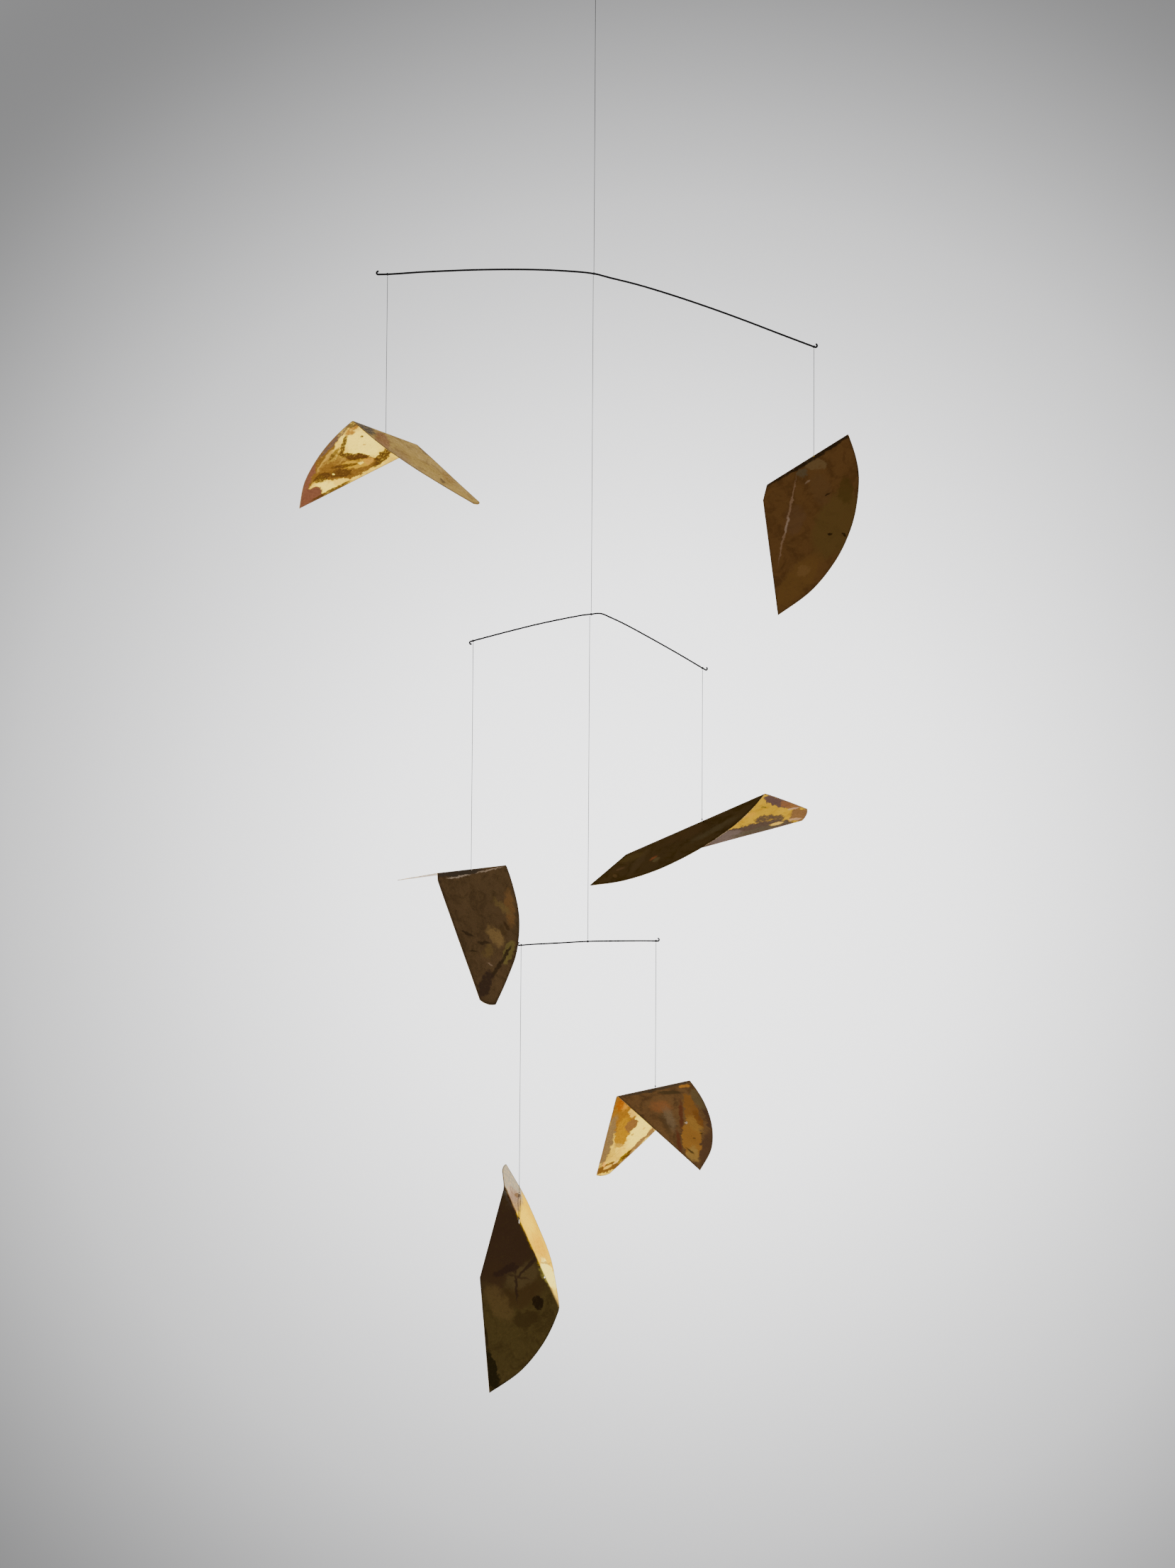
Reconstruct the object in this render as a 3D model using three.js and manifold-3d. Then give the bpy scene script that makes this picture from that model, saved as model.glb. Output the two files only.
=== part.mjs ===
// Hanging mobile: six folded brass leaves on three bent wire arms, one below another,
// all hung by fine threads from an eye in a small ceiling rose.
// Millimetres, +Z up. The origin is the middle of the rose's flat top face, and +X runs
// towards the right end of the top arm. Each arm's tie point is the origin of its own group.

import * as THREE from "three";
import { mergeVertices } from "three/addons/utils/BufferGeometryUtils.js";
import Module from "manifold-3d";

// ---------------------------------------------------------------- driving dimensions

const GAP = 0.3; // room left between pieces that touch

const ROSE = { radius: 17, rim: 2.2, thickness: 3.4, bevel: 1 };
const EYE = { centreDrop: 16.4, radius: 7.2, wire: 1.25, neckRadius: 1.9 };

const THREAD = { radius: 0.28, sides: 8, steps: 3 };
const TIE = { wall: 0.45, halfLength: 0.8 }; // thread wound round a wire
const BEAD = { radius: 0.9 }; // a plain knot in the thread

const SHEET = 0.6; // mean gauge of the leaf brass
const TIP_CUT = 0.12; // how far the sharp tips are blunted
const HOLE_RADIUS = 0.9;

const WIRE_SIDES = 8;
const CURL = { turn: THREE.MathUtils.degToRad(195), steps: 8 };

// A leaf is cut from a plate with a sharp tip on one straight edge and a blunt tip on the
// other. Its round side is given as radii round the corner between those edges, in shares
// of the leaf's length, at the stated shares of the corner's angle.
const LEAF_ANGLE = THREE.MathUtils.degToRad(159.3);
const PLAIN_CUT = {
  arc: [[0, 1], [0.12, 0.894], [0.25, 0.816], [0.38, 0.78], [0.5, 0.78], [0.62, 0.818], [0.75, 0.878],
    [0.86, 0.954], [0.952, 1.086]],
  bluntEnd: 1.018,
  bluntBulge: 0.111,
};
const NARROW_CUT = {
  arc: [[0, 1], [0.12, 0.903], [0.25, 0.828], [0.38, 0.788], [0.5, 0.786], [0.62, 0.824], [0.75, 0.852],
    [0.86, 0.936], [0.972, 1.075]],
  bluntEnd: 0.973,
  bluntBulge: 0.104,
};

// Each leaf: its length along the sharp edge, where the fold starts (share of the length
// along the blunt edge, or along the sharp edge if negative), the angle at which the fold
// meets the round side, how far it is folded, which way it is turned, the place of its hole
// along the fold, its compass heading and the length of thread above it.
const LEAVES = {
  leaf_1: { length: 118.2, foldStart: 0.159, foldEnd: 72.4, bend: 75.3, side: -1, hole: 0.49,
    heading: 231.9, hang: 160.3 },
  leaf_2: { length: 121.0, foldStart: 0.139, foldEnd: 119.6, bend: 86.7, side: -1, hole: 0.577,
    heading: 351.7, hang: 109.8 },
  leaf_3: { length: 120.5, foldStart: -0.063, foldEnd: 65.2, bend: 72.3, side: 1, hole: 0.486,
    heading: 45.5, hang: 222.8 },
  leaf_4: { length: 118.3, foldStart: -0.559, foldEnd: 124.2, bend: 65.1, side: -1, hole: 0.548,
    heading: 347.4, hang: 154.3, knotAbove: 1.9 },
  leaf_5: { length: 121.2, foldStart: -0.022, foldEnd: 81.9, bend: 82.7, side: -1, hole: 0.519,
    heading: 39.0, hang: 145.0, knotAbove: 1.9 },
  leaf_6: { length: 109.7, foldStart: 0.814, foldEnd: 62.6, bend: 53.3, side: -1, hole: 0.276,
    heading: 8.8, hang: 267.8, cut: NARROW_CUT, softBend: 4, spareHole: 0.74, loop: 27.5 },
};

// Each arm: its compass heading, the length of thread above it, the sideways step of its own
// thread from the one above, its wire and curl radii, its route in its own upright plane
// (distance along the heading, height), and where its two leaves are tied.
const ARMS = {
  arm_1: {
    heading: 0, hang: 308.4, step: 0, wire: 1.0, curl: 1.6,
    route: [[-215.5, -2.2], [-206.3, -1.9], [-168, 0.8], [-115, 3.2], [-62, 3.7], [-27, 2.5], [0, 0],
      [16, -4], [44, -10.9], [79, -21.4], [115, -33.4], [150, -46], [186, -59.7], [218, -71.7], [221, -72.8]],
    left: { leaf: "leaf_1", at: -206.3, curlUp: true },
    right: { leaf: "leaf_2", at: 220.0, curlUp: true },
  },
  arm_2: {
    heading: 18, hang: 341.8, step: -0.6, wire: 0.8, curl: 1.3,
    route: [[-123.5, -32.2], [-112, -28.7], [-83, -20.1], [-54, -12], [-25, -4.9], [-7, -1], [0, 0],
      [7, 1.1], [12, 0.7], [19, -1.9], [34, -7.9], [64, -22], [94, -36.8], [113.5, -46.9], [121.5, -51]],
    left: { leaf: "leaf_3", at: -120.9, curlUp: false },
    right: { leaf: "leaf_4", at: 118.4, curlUp: true },
  },
  arm_3: {
    heading: 10, hang: 323.7, step: -1.5, wire: 0.75, curl: 1.25,
    route: [[-68.2, -4.1], [-56, -3.2], [-35, -2.1], [-14, -0.9], [0, -0.2], [15, 0.1], [36, 0.4], [61, 0.5],
      [70.6, 0.3]],
    left: { leaf: "leaf_6", at: -66.3, curlUp: true },
    right: { leaf: "leaf_5", at: 68.7, curlUp: true },
  },
};

// ---------------------------------------------------------------- finishes

const BRASS = { color: 0x6b4f22, roughness: 0.3, metalness: 1 };
const BLACK_WIRE = { color: 0x1d1a18, roughness: 0.5, metalness: 0.8 };
const DARK_THREAD = { color: 0x26241f, roughness: 0.9, metalness: 0 };
const ROSE_METAL = { color: 0x4a4438, roughness: 0.4, metalness: 0.9 };

function namedMesh(name, geometry, finish) {
  const mesh = new THREE.Mesh(geometry, new THREE.MeshStandardMaterial(finish));
  mesh.name = name;
  return mesh;
}

// ---------------------------------------------------------------- solids and booleans

const wasm = await Module();
wasm.setup();

function bareGeometry(geometry) {
  const bare = new THREE.BufferGeometry();
  bare.setAttribute("position", geometry.getAttribute("position").clone());
  if (geometry.index) {
    bare.setIndex(geometry.index.clone());
  }
  return mergeVertices(bare, 1e-5);
}

function toSolid(geometry) {
  const bare = bareGeometry(geometry);
  const vertProperties = new Float32Array(bare.getAttribute("position").array);
  const triVerts = new Uint32Array(bare.index.array);
  return new wasm.Manifold(new wasm.Mesh({ numProp: 3, vertProperties, triVerts }));
}

function toGeometry(solid) {
  const mesh = solid.getMesh();
  const geometry = new THREE.BufferGeometry();
  geometry.setAttribute("position", new THREE.BufferAttribute(new Float32Array(mesh.vertProperties), 3));
  geometry.setIndex(new THREE.BufferAttribute(new Uint32Array(mesh.triVerts), 1));
  return geometry;
}

// Centre of volume of a closed mesh, as the weighted mean of the tetrahedra that its
// triangles make with the origin.
function centreOfVolume(geometry) {
  const at = geometry.getAttribute("position");
  const index = geometry.index;
  const [a, b, c] = [new THREE.Vector3(), new THREE.Vector3(), new THREE.Vector3()];
  const centre = new THREE.Vector3();
  let volume = 0;
  for (let i = 0; i < index.count; i += 3) {
    a.fromBufferAttribute(at, index.getX(i));
    b.fromBufferAttribute(at, index.getX(i + 1));
    c.fromBufferAttribute(at, index.getX(i + 2));
    const share = a.dot(b.clone().cross(c)) / 6;
    volume += share;
    centre.addScaledVector(a.clone().add(b).add(c), share / 4);
  }
  return centre.divideScalar(volume);
}

function roundSection(radius, sides) {
  const corners = [];
  for (let i = 0; i < sides; i += 1) {
    const angle = (2 * Math.PI * i) / sides;
    corners.push(new THREE.Vector2(radius * Math.cos(angle), radius * Math.sin(angle)));
  }
  return new THREE.Shape(corners);
}

function tube(path, radius, sides, steps) {
  return new THREE.ExtrudeGeometry(roundSection(radius, sides), { extrudePath: path, steps });
}

// ---------------------------------------------------------------- threads and knots

// The thread above an arm or a leaf, taut and plumb.
function threadMesh(hung, top, bottom) {
  const path = new THREE.LineCurve3(new THREE.Vector3(0, 0, top), new THREE.Vector3(0, 0, bottom));
  return namedMesh(`thread_${hung}`, tube(path, THREAD.radius, THREAD.sides, THREAD.steps), DARK_THREAD);
}

// A ring of wound thread round something of the given radius, with its axis along Z.
function woundRing(innerRadius, halfLength, wall = TIE.wall) {
  const inner = innerRadius + GAP;
  const outer = inner + wall;
  const profile = [[inner, -halfLength], [outer, -0.6 * halfLength], [outer, 0.6 * halfLength],
    [inner, halfLength], [inner, -halfLength]];
  const ring = new THREE.LatheGeometry(profile.map(([x, y]) => new THREE.Vector2(x, y)), 10);
  ring.rotateX(Math.PI / 2);
  return ring;
}

function tieOuterRadius(wireRadius) {
  return wireRadius + GAP + TIE.wall;
}

// A tie is a wound ring turned to run along the wire at its place on the arm.
function tieOnWire(name, wireRadius, place, tangent) {
  const tie = namedMesh(name, woundRing(wireRadius, TIE.halfLength), DARK_THREAD);
  tie.quaternion.setFromUnitVectors(new THREE.Vector3(0, 0, 1), tangent);
  tie.position.copy(place);
  return tie;
}

function bead(name, height) {
  const ball = new THREE.SphereGeometry(BEAD.radius, 8, 6);
  ball.rotateX(Math.PI / 2);
  const mesh = namedMesh(name, ball, DARK_THREAD);
  mesh.position.z = height;
  return mesh;
}

// ---------------------------------------------------------------- ceiling rose and eye

function ceilingRose() {
  const { radius, rim, thickness, bevel } = ROSE;
  const neckEnd = -EYE.centreDrop + EYE.radius;
  const profile = [[0, 0], [radius, 0], [radius, -rim], [radius - bevel, -thickness],
    [EYE.neckRadius, -thickness], [EYE.neckRadius, neckEnd], [0, neckEnd]];
  const rose = new THREE.LatheGeometry(profile.reverse().map(([x, y]) => new THREE.Vector2(x, y)), 28);
  rose.rotateX(Math.PI / 2);
  const ring = new THREE.TorusGeometry(EYE.radius, EYE.wire, 8, 24);
  ring.rotateX(Math.PI / 2);
  ring.translate(0, 0, -EYE.centreDrop);
  return toGeometry(toSolid(rose).add(toSolid(ring)));
}

// ---------------------------------------------------------------- wire arms

// An arm's centre line in its own XZ plane: a smooth curve through the route's points, with
// a small curl on each end. The curls get a fixed number of steps of their own.
class ArmRoute extends THREE.Curve {
  constructor(arm, steps) {
    super();
    const points = arm.route.map(([x, z]) => new THREE.Vector3(x, 0, z));
    this.line = new THREE.CatmullRomCurve3(points, false, "centripetal");
    this.curlRadius = arm.curl;
    this.curlShare = CURL.steps / (steps + 2 * CURL.steps);
    this.ends = [
      { start: points[0], out: this.line.getTangentAt(0).negate(), up: arm.left.curlUp },
      { start: points.at(-1), out: this.line.getTangentAt(1), up: arm.right.curlUp },
    ];
  }

  curlPoint({ start, out, up }, share) {
    const sideways = new THREE.Vector3(-out.z, 0, out.x);
    if (sideways.z > 0 !== up) {
      sideways.negate();
    }
    const angle = share * CURL.turn;
    return start.clone()
      .addScaledVector(sideways, this.curlRadius * (1 - Math.cos(angle)))
      .addScaledVector(out, this.curlRadius * Math.sin(angle));
  }

  getPoint(t) {
    if (t < this.curlShare) {
      return this.curlPoint(this.ends[0], 1 - t / this.curlShare);
    }
    if (t > 1 - this.curlShare) {
      return this.curlPoint(this.ends[1], 1 - (1 - t) / this.curlShare);
    }
    return this.line.getPointAt((t - this.curlShare) / (1 - 2 * this.curlShare));
  }

  getPointAt(u) {
    return this.getPoint(u);
  }

  getTangentAt(u) {
    return this.getTangent(u);
  }

  // The point and direction where the wire passes the given distance along the heading.
  placeAt(distance) {
    let [low, high] = [0, 1];
    for (let i = 0; i < 40; i += 1) {
      const middle = (low + high) / 2;
      if (this.line.getPointAt(middle).x < distance) {
        low = middle;
      } else {
        high = middle;
      }
    }
    return { place: this.line.getPointAt(low), tangent: this.line.getTangentAt(low) };
  }
}

function armSteps(arm) {
  return Math.round((arm.route.at(-1)[0] - arm.route[0][0]) / 7.5);
}

// ---------------------------------------------------------------- leaves

// The plate's outline in its own plane: corner at the origin, sharp edge along +X.
function leafOutline(leaf) {
  const { arc, bluntEnd, bluntBulge } = leaf.cut ?? PLAIN_CUT;
  const polar = (share, radius) => new THREE.Vector2(
    leaf.length * radius * Math.cos(share * LEAF_ANGLE),
    leaf.length * radius * Math.sin(share * LEAF_ANGLE),
  );
  const knots = new THREE.SplineCurve(arc.map(([share, radius]) => polar(share, radius)));
  const round = knots.getSpacedPoints(44);
  const from = round.at(-1);
  const to = polar(1, bluntEnd);
  const outward = new THREE.Vector2(to.y - from.y, from.x - to.x).multiplyScalar(2 * bluntBulge);
  const control = from.clone().add(to).multiplyScalar(0.5).add(outward);
  const blunt = new THREE.QuadraticBezierCurve(from, control, to).getPoints(6).slice(1);
  return [new THREE.Vector2(0, 0), ...round, ...blunt];
}

// The two ends of the fold, on the outline.
function foldEnds(leaf, outline) {
  const along = leaf.foldStart >= 0 ? LEAF_ANGLE : 0;
  const reach = Math.abs(leaf.foldStart) * leaf.length;
  const start = new THREE.Vector2(reach * Math.cos(along), reach * Math.sin(along));
  const angle = THREE.MathUtils.degToRad(leaf.foldEnd);
  const next = outline.findIndex((point, i) => i > 1 && Math.atan2(point.y, point.x) > angle);
  const [a, b] = [outline[next - 1], outline[next]];
  const ray = new THREE.Vector2(Math.cos(angle), Math.sin(angle));
  const span = b.clone().sub(a);
  const share = a.cross(ray) / ray.cross(span);
  return [start, a.clone().addScaledVector(span, share)];
}

// The outline in fold coordinates: distance along the fold, distance from it (positive on
// the sharp tip's side).
function inFoldFrame(outline, start, end) {
  const along = end.clone().sub(start).normalize();
  const across = new THREE.Vector2(along.y, -along.x);
  return outline.map((point) => {
    const from = point.clone().sub(start);
    return new THREE.Vector2(from.dot(along), from.dot(across));
  });
}

// Where the line at one distance from the fold enters and leaves the outline.
function crossing(points, distance) {
  const hits = [];
  points.forEach((a, i) => {
    const b = points[(i + 1) % points.length];
    if ((a.y - distance) * (b.y - distance) <= 0 && a.y !== b.y) {
      hits.push(a.x + ((b.x - a.x) * (distance - a.y)) / (b.y - a.y));
    }
  });
  return [Math.min(...hits), Math.max(...hits)];
}

// Rows across the leaf, from the blunt wing to the sharp one: flat wings that meet in a
// rounded bend. Each row has its distance from the fold on the flat plate, and its place and
// tilt in the folded leaf's cross-section.
function leafRows(points, halfBend, bendRadius) {
  const heights = points.map((point) => point.y);
  const low = Math.min(...heights) + TIP_CUT;
  const high = Math.max(...heights) - TIP_CUT;
  const flatFrom = bendRadius * Math.tan(halfBend);
  const corners = heights.filter((y) => y > low && y < high && Math.abs(y) > flatFrom);
  const wings = [...new Set([low, high, ...corners])].map((y) => ({
    distance: y,
    across: y * Math.cos(halfBend),
    height: -Math.abs(y) * Math.sin(halfBend),
    tilt: Math.sign(y) * halfBend,
  }));
  const bend = [-1, -0.6, -0.2, 0.2, 0.6, 1].map((share) => ({
    distance: share * flatFrom,
    across: bendRadius * Math.sin(share * halfBend),
    height: bendRadius * (Math.cos(share * halfBend) - 1 / Math.cos(halfBend)),
    tilt: share * halfBend,
  }));
  const rows = [...wings, ...bend].sort((a, b) => a.distance - b.distance);
  return rows.filter((row, i) => i === 0 || row.distance - rows[i - 1].distance > 0.02);
}

// The folded sheet: each row has four corners (both ends, upper and lower face), joined to
// the next row's. The fold runs along X, and both wings fall away below it.
function foldedSheet(rows, points, gauge, side) {
  const vertices = [];
  rows.forEach((row) => {
    const [left, right] = crossing(points, row.distance);
    const lift = { across: (Math.sin(row.tilt) * gauge) / 2, height: (Math.cos(row.tilt) * gauge) / 2 };
    [[left, 1], [right, 1], [right, -1], [left, -1]].forEach(([x, face]) => {
      vertices.push(x, side * (row.across + face * lift.across), row.height + face * lift.height);
    });
  });
  const triangles = [];
  const quad = (a, b, c, d) => {
    const turned = side > 0 ? [a, b, c, a, c, d] : [a, c, b, a, d, c];
    triangles.push(...turned);
  };
  for (let row = 0; row + 1 < rows.length; row += 1) {
    for (let corner = 0; corner < 4; corner += 1) {
      const next = (corner + 1) % 4;
      quad(4 * row + corner, 4 * row + next, 4 * row + 4 + next, 4 * row + 4 + corner);
    }
  }
  const last = 4 * (rows.length - 1);
  quad(3, 2, 1, 0);
  quad(last, last + 1, last + 2, last + 3);
  const geometry = new THREE.BufferGeometry();
  geometry.setAttribute("position", new THREE.Float32BufferAttribute(vertices, 3));
  geometry.setIndex(triangles);
  return geometry;
}

function drill(geometry, place, direction, radius) {
  const bit = new THREE.CylinderGeometry(radius, radius, 12, 12);
  bit.applyQuaternion(new THREE.Quaternion().setFromUnitVectors(new THREE.Vector3(0, 1, 0), direction));
  bit.translate(place.x, place.y, place.z);
  return toGeometry(toSolid(geometry).subtract(toSolid(bit)));
}

// The turn that brings the leaf's plumb line upright and then to its heading.
function hangingTurn(down, heading) {
  const up = down.clone().negate();
  const front = new THREE.Vector3(1, 0, 0).addScaledVector(up, -up.x).normalize();
  const sideways = up.clone().cross(front);
  const toPlumb = new THREE.Matrix4().makeBasis(front, sideways, up).transpose();
  const turn = new THREE.Matrix4().makeRotationZ(THREE.MathUtils.degToRad(heading));
  return new THREE.Quaternion().setFromRotationMatrix(turn.multiply(toPlumb));
}

function makeLeaf(leaf, gauge) {
  const outline = leafOutline(leaf);
  const [start, end] = foldEnds(leaf, outline);
  const points = inFoldFrame(outline, start, end);
  const halfBend = THREE.MathUtils.degToRad(leaf.bend) / 2;
  const bendRadius = leaf.softBend ?? 1.5;
  const rows = leafRows(points, halfBend, bendRadius);
  const sheet = foldedSheet(rows, points, gauge, leaf.side);
  const ridge = bendRadius * (1 - 1 / Math.cos(halfBend));
  const foldLength = end.distanceTo(start);
  const hole = new THREE.Vector3(leaf.hole * foldLength, 0, ridge);
  sheet.translate(-hole.x, -hole.y, -hole.z);
  const down = centreOfVolume(sheet).normalize();
  let drilled = drill(sheet, new THREE.Vector3(), down, HOLE_RADIUS);
  if (leaf.spareHole) {
    const spare = new THREE.Vector3((leaf.spareHole - leaf.hole) * foldLength, 0, 0);
    drilled = drill(drilled, spare, new THREE.Vector3(0, 0, 1), HOLE_RADIUS);
  }
  const ridgeLean = Math.abs(down.z);
  const beadDrop = (BEAD.radius + gauge / 2 + GAP) / (Math.cos(halfBend) * ridgeLean);
  return { geometry: drilled, down, beadDrop };
}

function plateArea(leaf) {
  return Math.abs(THREE.ShapeUtils.area(leafOutline(leaf)));
}

// ---------------------------------------------------------------- what hangs on an arm

// A hairpin of thread from its knot down through the leaf's hole and back up.
function threadLoop(height, drop) {
  const points = [[-0.5, height], [-1.1, 0.75 * height], [-0.9, 0.4 * height], [-0.42, 0.08 * height],
    [-0.4, -drop], [0, -drop - 0.6], [0.4, -drop], [0.42, 0.08 * height], [0.9, 0.4 * height],
    [1.1, 0.75 * height], [0.5, height]];
  const path = new THREE.CatmullRomCurve3(points.map(([x, z]) => new THREE.Vector3(x, 0, z)));
  return tube(path, THREAD.radius, THREAD.sides, 40);
}

// A leaf on its thread, in a group whose origin is the place of its hole.
function hangingLeaf(name, gauge, heading, threadTop) {
  const leaf = LEAVES[name];
  const number = name.split("_")[1];
  const { geometry, down, beadDrop } = makeLeaf(leaf, gauge);
  const group = new THREE.Group();
  const sheet = namedMesh(name, geometry, BRASS);
  sheet.quaternion.copy(hangingTurn(down, heading));
  group.add(sheet);
  if (leaf.loop) {
    const loopTop = leaf.loop - BEAD.radius - GAP;
    group.add(namedMesh(`loop_leaf_${number}`, threadLoop(loopTop, beadDrop), DARK_THREAD));
    group.add(bead(`knot_leaf_${number}`, leaf.loop));
    group.add(threadMesh(name, threadTop, leaf.loop + BEAD.radius + GAP));
    return group;
  }
  group.add(bead(`knot_leaf_${number}`, -beadDrop));
  group.add(threadMesh(name, threadTop, -beadDrop + BEAD.radius + GAP));
  if (leaf.knotAbove) {
    const outerKnot = namedMesh(`knot_above_leaf_${number}`, woundRing(THREAD.radius, 0.7), DARK_THREAD);
    outerKnot.position.z = leaf.knotAbove;
    group.add(outerKnot);
  }
  return group;
}

// The two gauges that make an arm balance on its tie: each leaf's share of the pair's weight
// is in inverse proportion to its distance from the tie.
function balancedGauges(arm) {
  const left = Math.abs(arm.left.at) * plateArea(LEAVES[arm.left.leaf]);
  const right = arm.right.at * plateArea(LEAVES[arm.right.leaf]);
  return { left: (2 * SHEET * right) / (left + right), right: (2 * SHEET * left) / (left + right) };
}

function hangingArm(name, aboveTie) {
  const arm = ARMS[name];
  const steps = armSteps(arm);
  const route = new ArmRoute(arm, steps);
  const wire = tube(route, arm.wire, WIRE_SIDES, steps + 2 * CURL.steps);
  const group = new THREE.Group();
  group.add(namedMesh(name, wire, BLACK_WIRE));
  const tieRadius = tieOuterRadius(arm.wire);
  const middle = route.placeAt(0);
  group.add(tieOnWire(`tie_${name}_middle`, arm.wire, middle.place, middle.tangent));
  const threadTop = arm.hang - aboveTie - GAP;
  group.add(threadMesh(name, threadTop, tieRadius + GAP + middle.place.z));
  const gauges = balancedGauges(arm);
  ["left", "right"].forEach((end) => {
    const { leaf, at } = arm[end];
    const { place, tangent } = route.placeAt(at);
    group.add(tieOnWire(`tie_${name}_${end}`, arm.wire, place, tangent));
    const hang = LEAVES[leaf].hang;
    const heading = LEAVES[leaf].heading - arm.heading;
    const hung = hangingLeaf(leaf, gauges[end], heading, hang - tieRadius - GAP);
    hung.position.copy(place).add(new THREE.Vector3(0, 0, -hang));
    group.add(hung);
  });
  return group;
}

// ---------------------------------------------------------------- the whole mobile

function buildMobile() {
  const mobile = new THREE.Group();
  mobile.add(namedMesh("ceiling_rose", ceilingRose(), ROSE_METAL));
  const eyeBottom = new THREE.Vector3(0, 0, -EYE.centreDrop - EYE.radius);
  mobile.add(tieOnWire("tie_ceiling_eye", EYE.wire, eyeBottom, new THREE.Vector3(1, 0, 0)));
  let parent = mobile;
  let parentHeading = 0;
  let aboveTie = -eyeBottom.z + tieOuterRadius(EYE.wire);
  Object.entries(ARMS).forEach(([name, arm]) => {
    const group = hangingArm(name, aboveTie);
    const turn = THREE.MathUtils.degToRad(-parentHeading);
    group.position.set(arm.step * Math.cos(turn), arm.step * Math.sin(turn), -arm.hang);
    group.rotation.z = THREE.MathUtils.degToRad(arm.heading - parentHeading);
    parent.add(group);
    parent = group;
    parentHeading = arm.heading;
    aboveTie = tieOuterRadius(arm.wire);
  });
  return mobile;
}

export default buildMobile();
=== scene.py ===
"""Hanging mobile: six folded brass leaves on three bent wire arms, hung by fine threads.

Everything is in the part's own frame: metres, +Z up, the origin in the middle of the
ceiling rose's flat top. Sizes are kept in millimetres, and MM turns them into metres.
"""

import logging
import math
from dataclasses import dataclass
from enum import Enum

import bpy
import numpy as np
from mathutils import Matrix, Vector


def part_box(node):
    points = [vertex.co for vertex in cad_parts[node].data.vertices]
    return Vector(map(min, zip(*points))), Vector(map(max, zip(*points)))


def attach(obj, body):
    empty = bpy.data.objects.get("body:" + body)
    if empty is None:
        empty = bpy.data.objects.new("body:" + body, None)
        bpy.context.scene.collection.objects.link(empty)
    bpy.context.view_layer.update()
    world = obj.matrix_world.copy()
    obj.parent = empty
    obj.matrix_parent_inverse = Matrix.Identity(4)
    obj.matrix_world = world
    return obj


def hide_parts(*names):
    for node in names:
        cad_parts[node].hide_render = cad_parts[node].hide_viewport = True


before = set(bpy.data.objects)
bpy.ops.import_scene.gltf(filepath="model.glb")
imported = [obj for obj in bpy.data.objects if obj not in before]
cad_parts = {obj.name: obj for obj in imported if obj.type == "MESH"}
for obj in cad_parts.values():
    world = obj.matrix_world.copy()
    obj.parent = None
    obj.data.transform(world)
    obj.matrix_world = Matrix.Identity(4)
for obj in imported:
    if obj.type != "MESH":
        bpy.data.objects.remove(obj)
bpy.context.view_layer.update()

LOG = logging.getLogger("mobile")
MM = 0.001
Colour = tuple[float, float, float]
Array = np.ndarray
Socket = bpy.types.NodeSocket
Material = bpy.types.Material
Solid = bpy.types.Object

# ------------------------------------------------------------------ shared sizes (mm)

TIE_HALF_LENGTH = 0.8
BEAD_RADIUS = 0.9
THREAD_RADIUS = 0.28
HOLE_RADIUS = 0.9
LEAF_ANGLE = math.radians(159.3)
EYE_BOTTOM = -23.6
EYE_WIRE = 1.25
PLATE_UNIT = 100  # length of one step of the leaves' plate coordinates
AHEAD = np.array([1.0, 0, 0])
ASIDE = np.array([0, 1.0, 0])
UPWARD = np.array([0, 0, 1.0])


class Layer(Enum):
    """Which skin of a leaf a face belongs to, and its place among the leaf's materials."""

    OUTER = 0
    INNER = 1
    RIM = 2


class FarEnd(Enum):
    """What a thread ends in."""

    KNOT = "knot"
    OBJECT = "object"


# ------------------------------------------------------------------ curves as arrays


def hermite(start: Array, end: Array, out: Array, into: Array, share: Array) -> Array:
    """The cubic from start to end that leaves along out and arrives along into.

    Args:
        start: first point of each span.
        end: last point of each span.
        out: slope at the start.
        into: slope at the end.
        share: place in the span, 0 to 1.

    Returns:
        The point of each span at its share.
    """
    t = share[:, None]
    return (
        (2 * t**3 - 3 * t**2 + 1) * start
        + (t**3 - 2 * t**2 + t) * out
        + (3 * t**2 - 2 * t**3) * end
        + (t**3 - t**2) * into
    )


def travelled(line: Array) -> Array:
    """The distance from a polyline's start to each of its points."""
    return np.r_[0, np.cumsum(np.linalg.norm(np.diff(line, axis=0), axis=1))]


def even_points(line: Array, count: int) -> Array:
    """The line's points moved to equal distances along it.

    Args:
        line: points of a fine polyline.
        count: how many points to return.

    Returns:
        Points at equal shares of the line's length.
    """
    distance = travelled(line)
    wanted = np.linspace(0, distance[-1], count)
    return np.stack([np.interp(wanted, distance, place) for place in line.T], 1)


def plain_spline(knots: Array, fine: int) -> Array:
    """A curve through evenly timed knots, each slope half the step between its neighbours.

    Args:
        knots: points that the curve passes through.
        fine: how many points to return.

    Returns:
        Points of the curve.
    """
    padded = np.vstack([knots[:1], knots, knots[-1:]])
    time = np.linspace(0, len(knots) - 1, fine)
    span = np.minimum(time.astype(int), len(knots) - 2)
    before, here, after, beyond = (padded[span + k] for k in range(4))
    return hermite(here, after, (after - before) / 2, (beyond - here) / 2, time - span)


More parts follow.
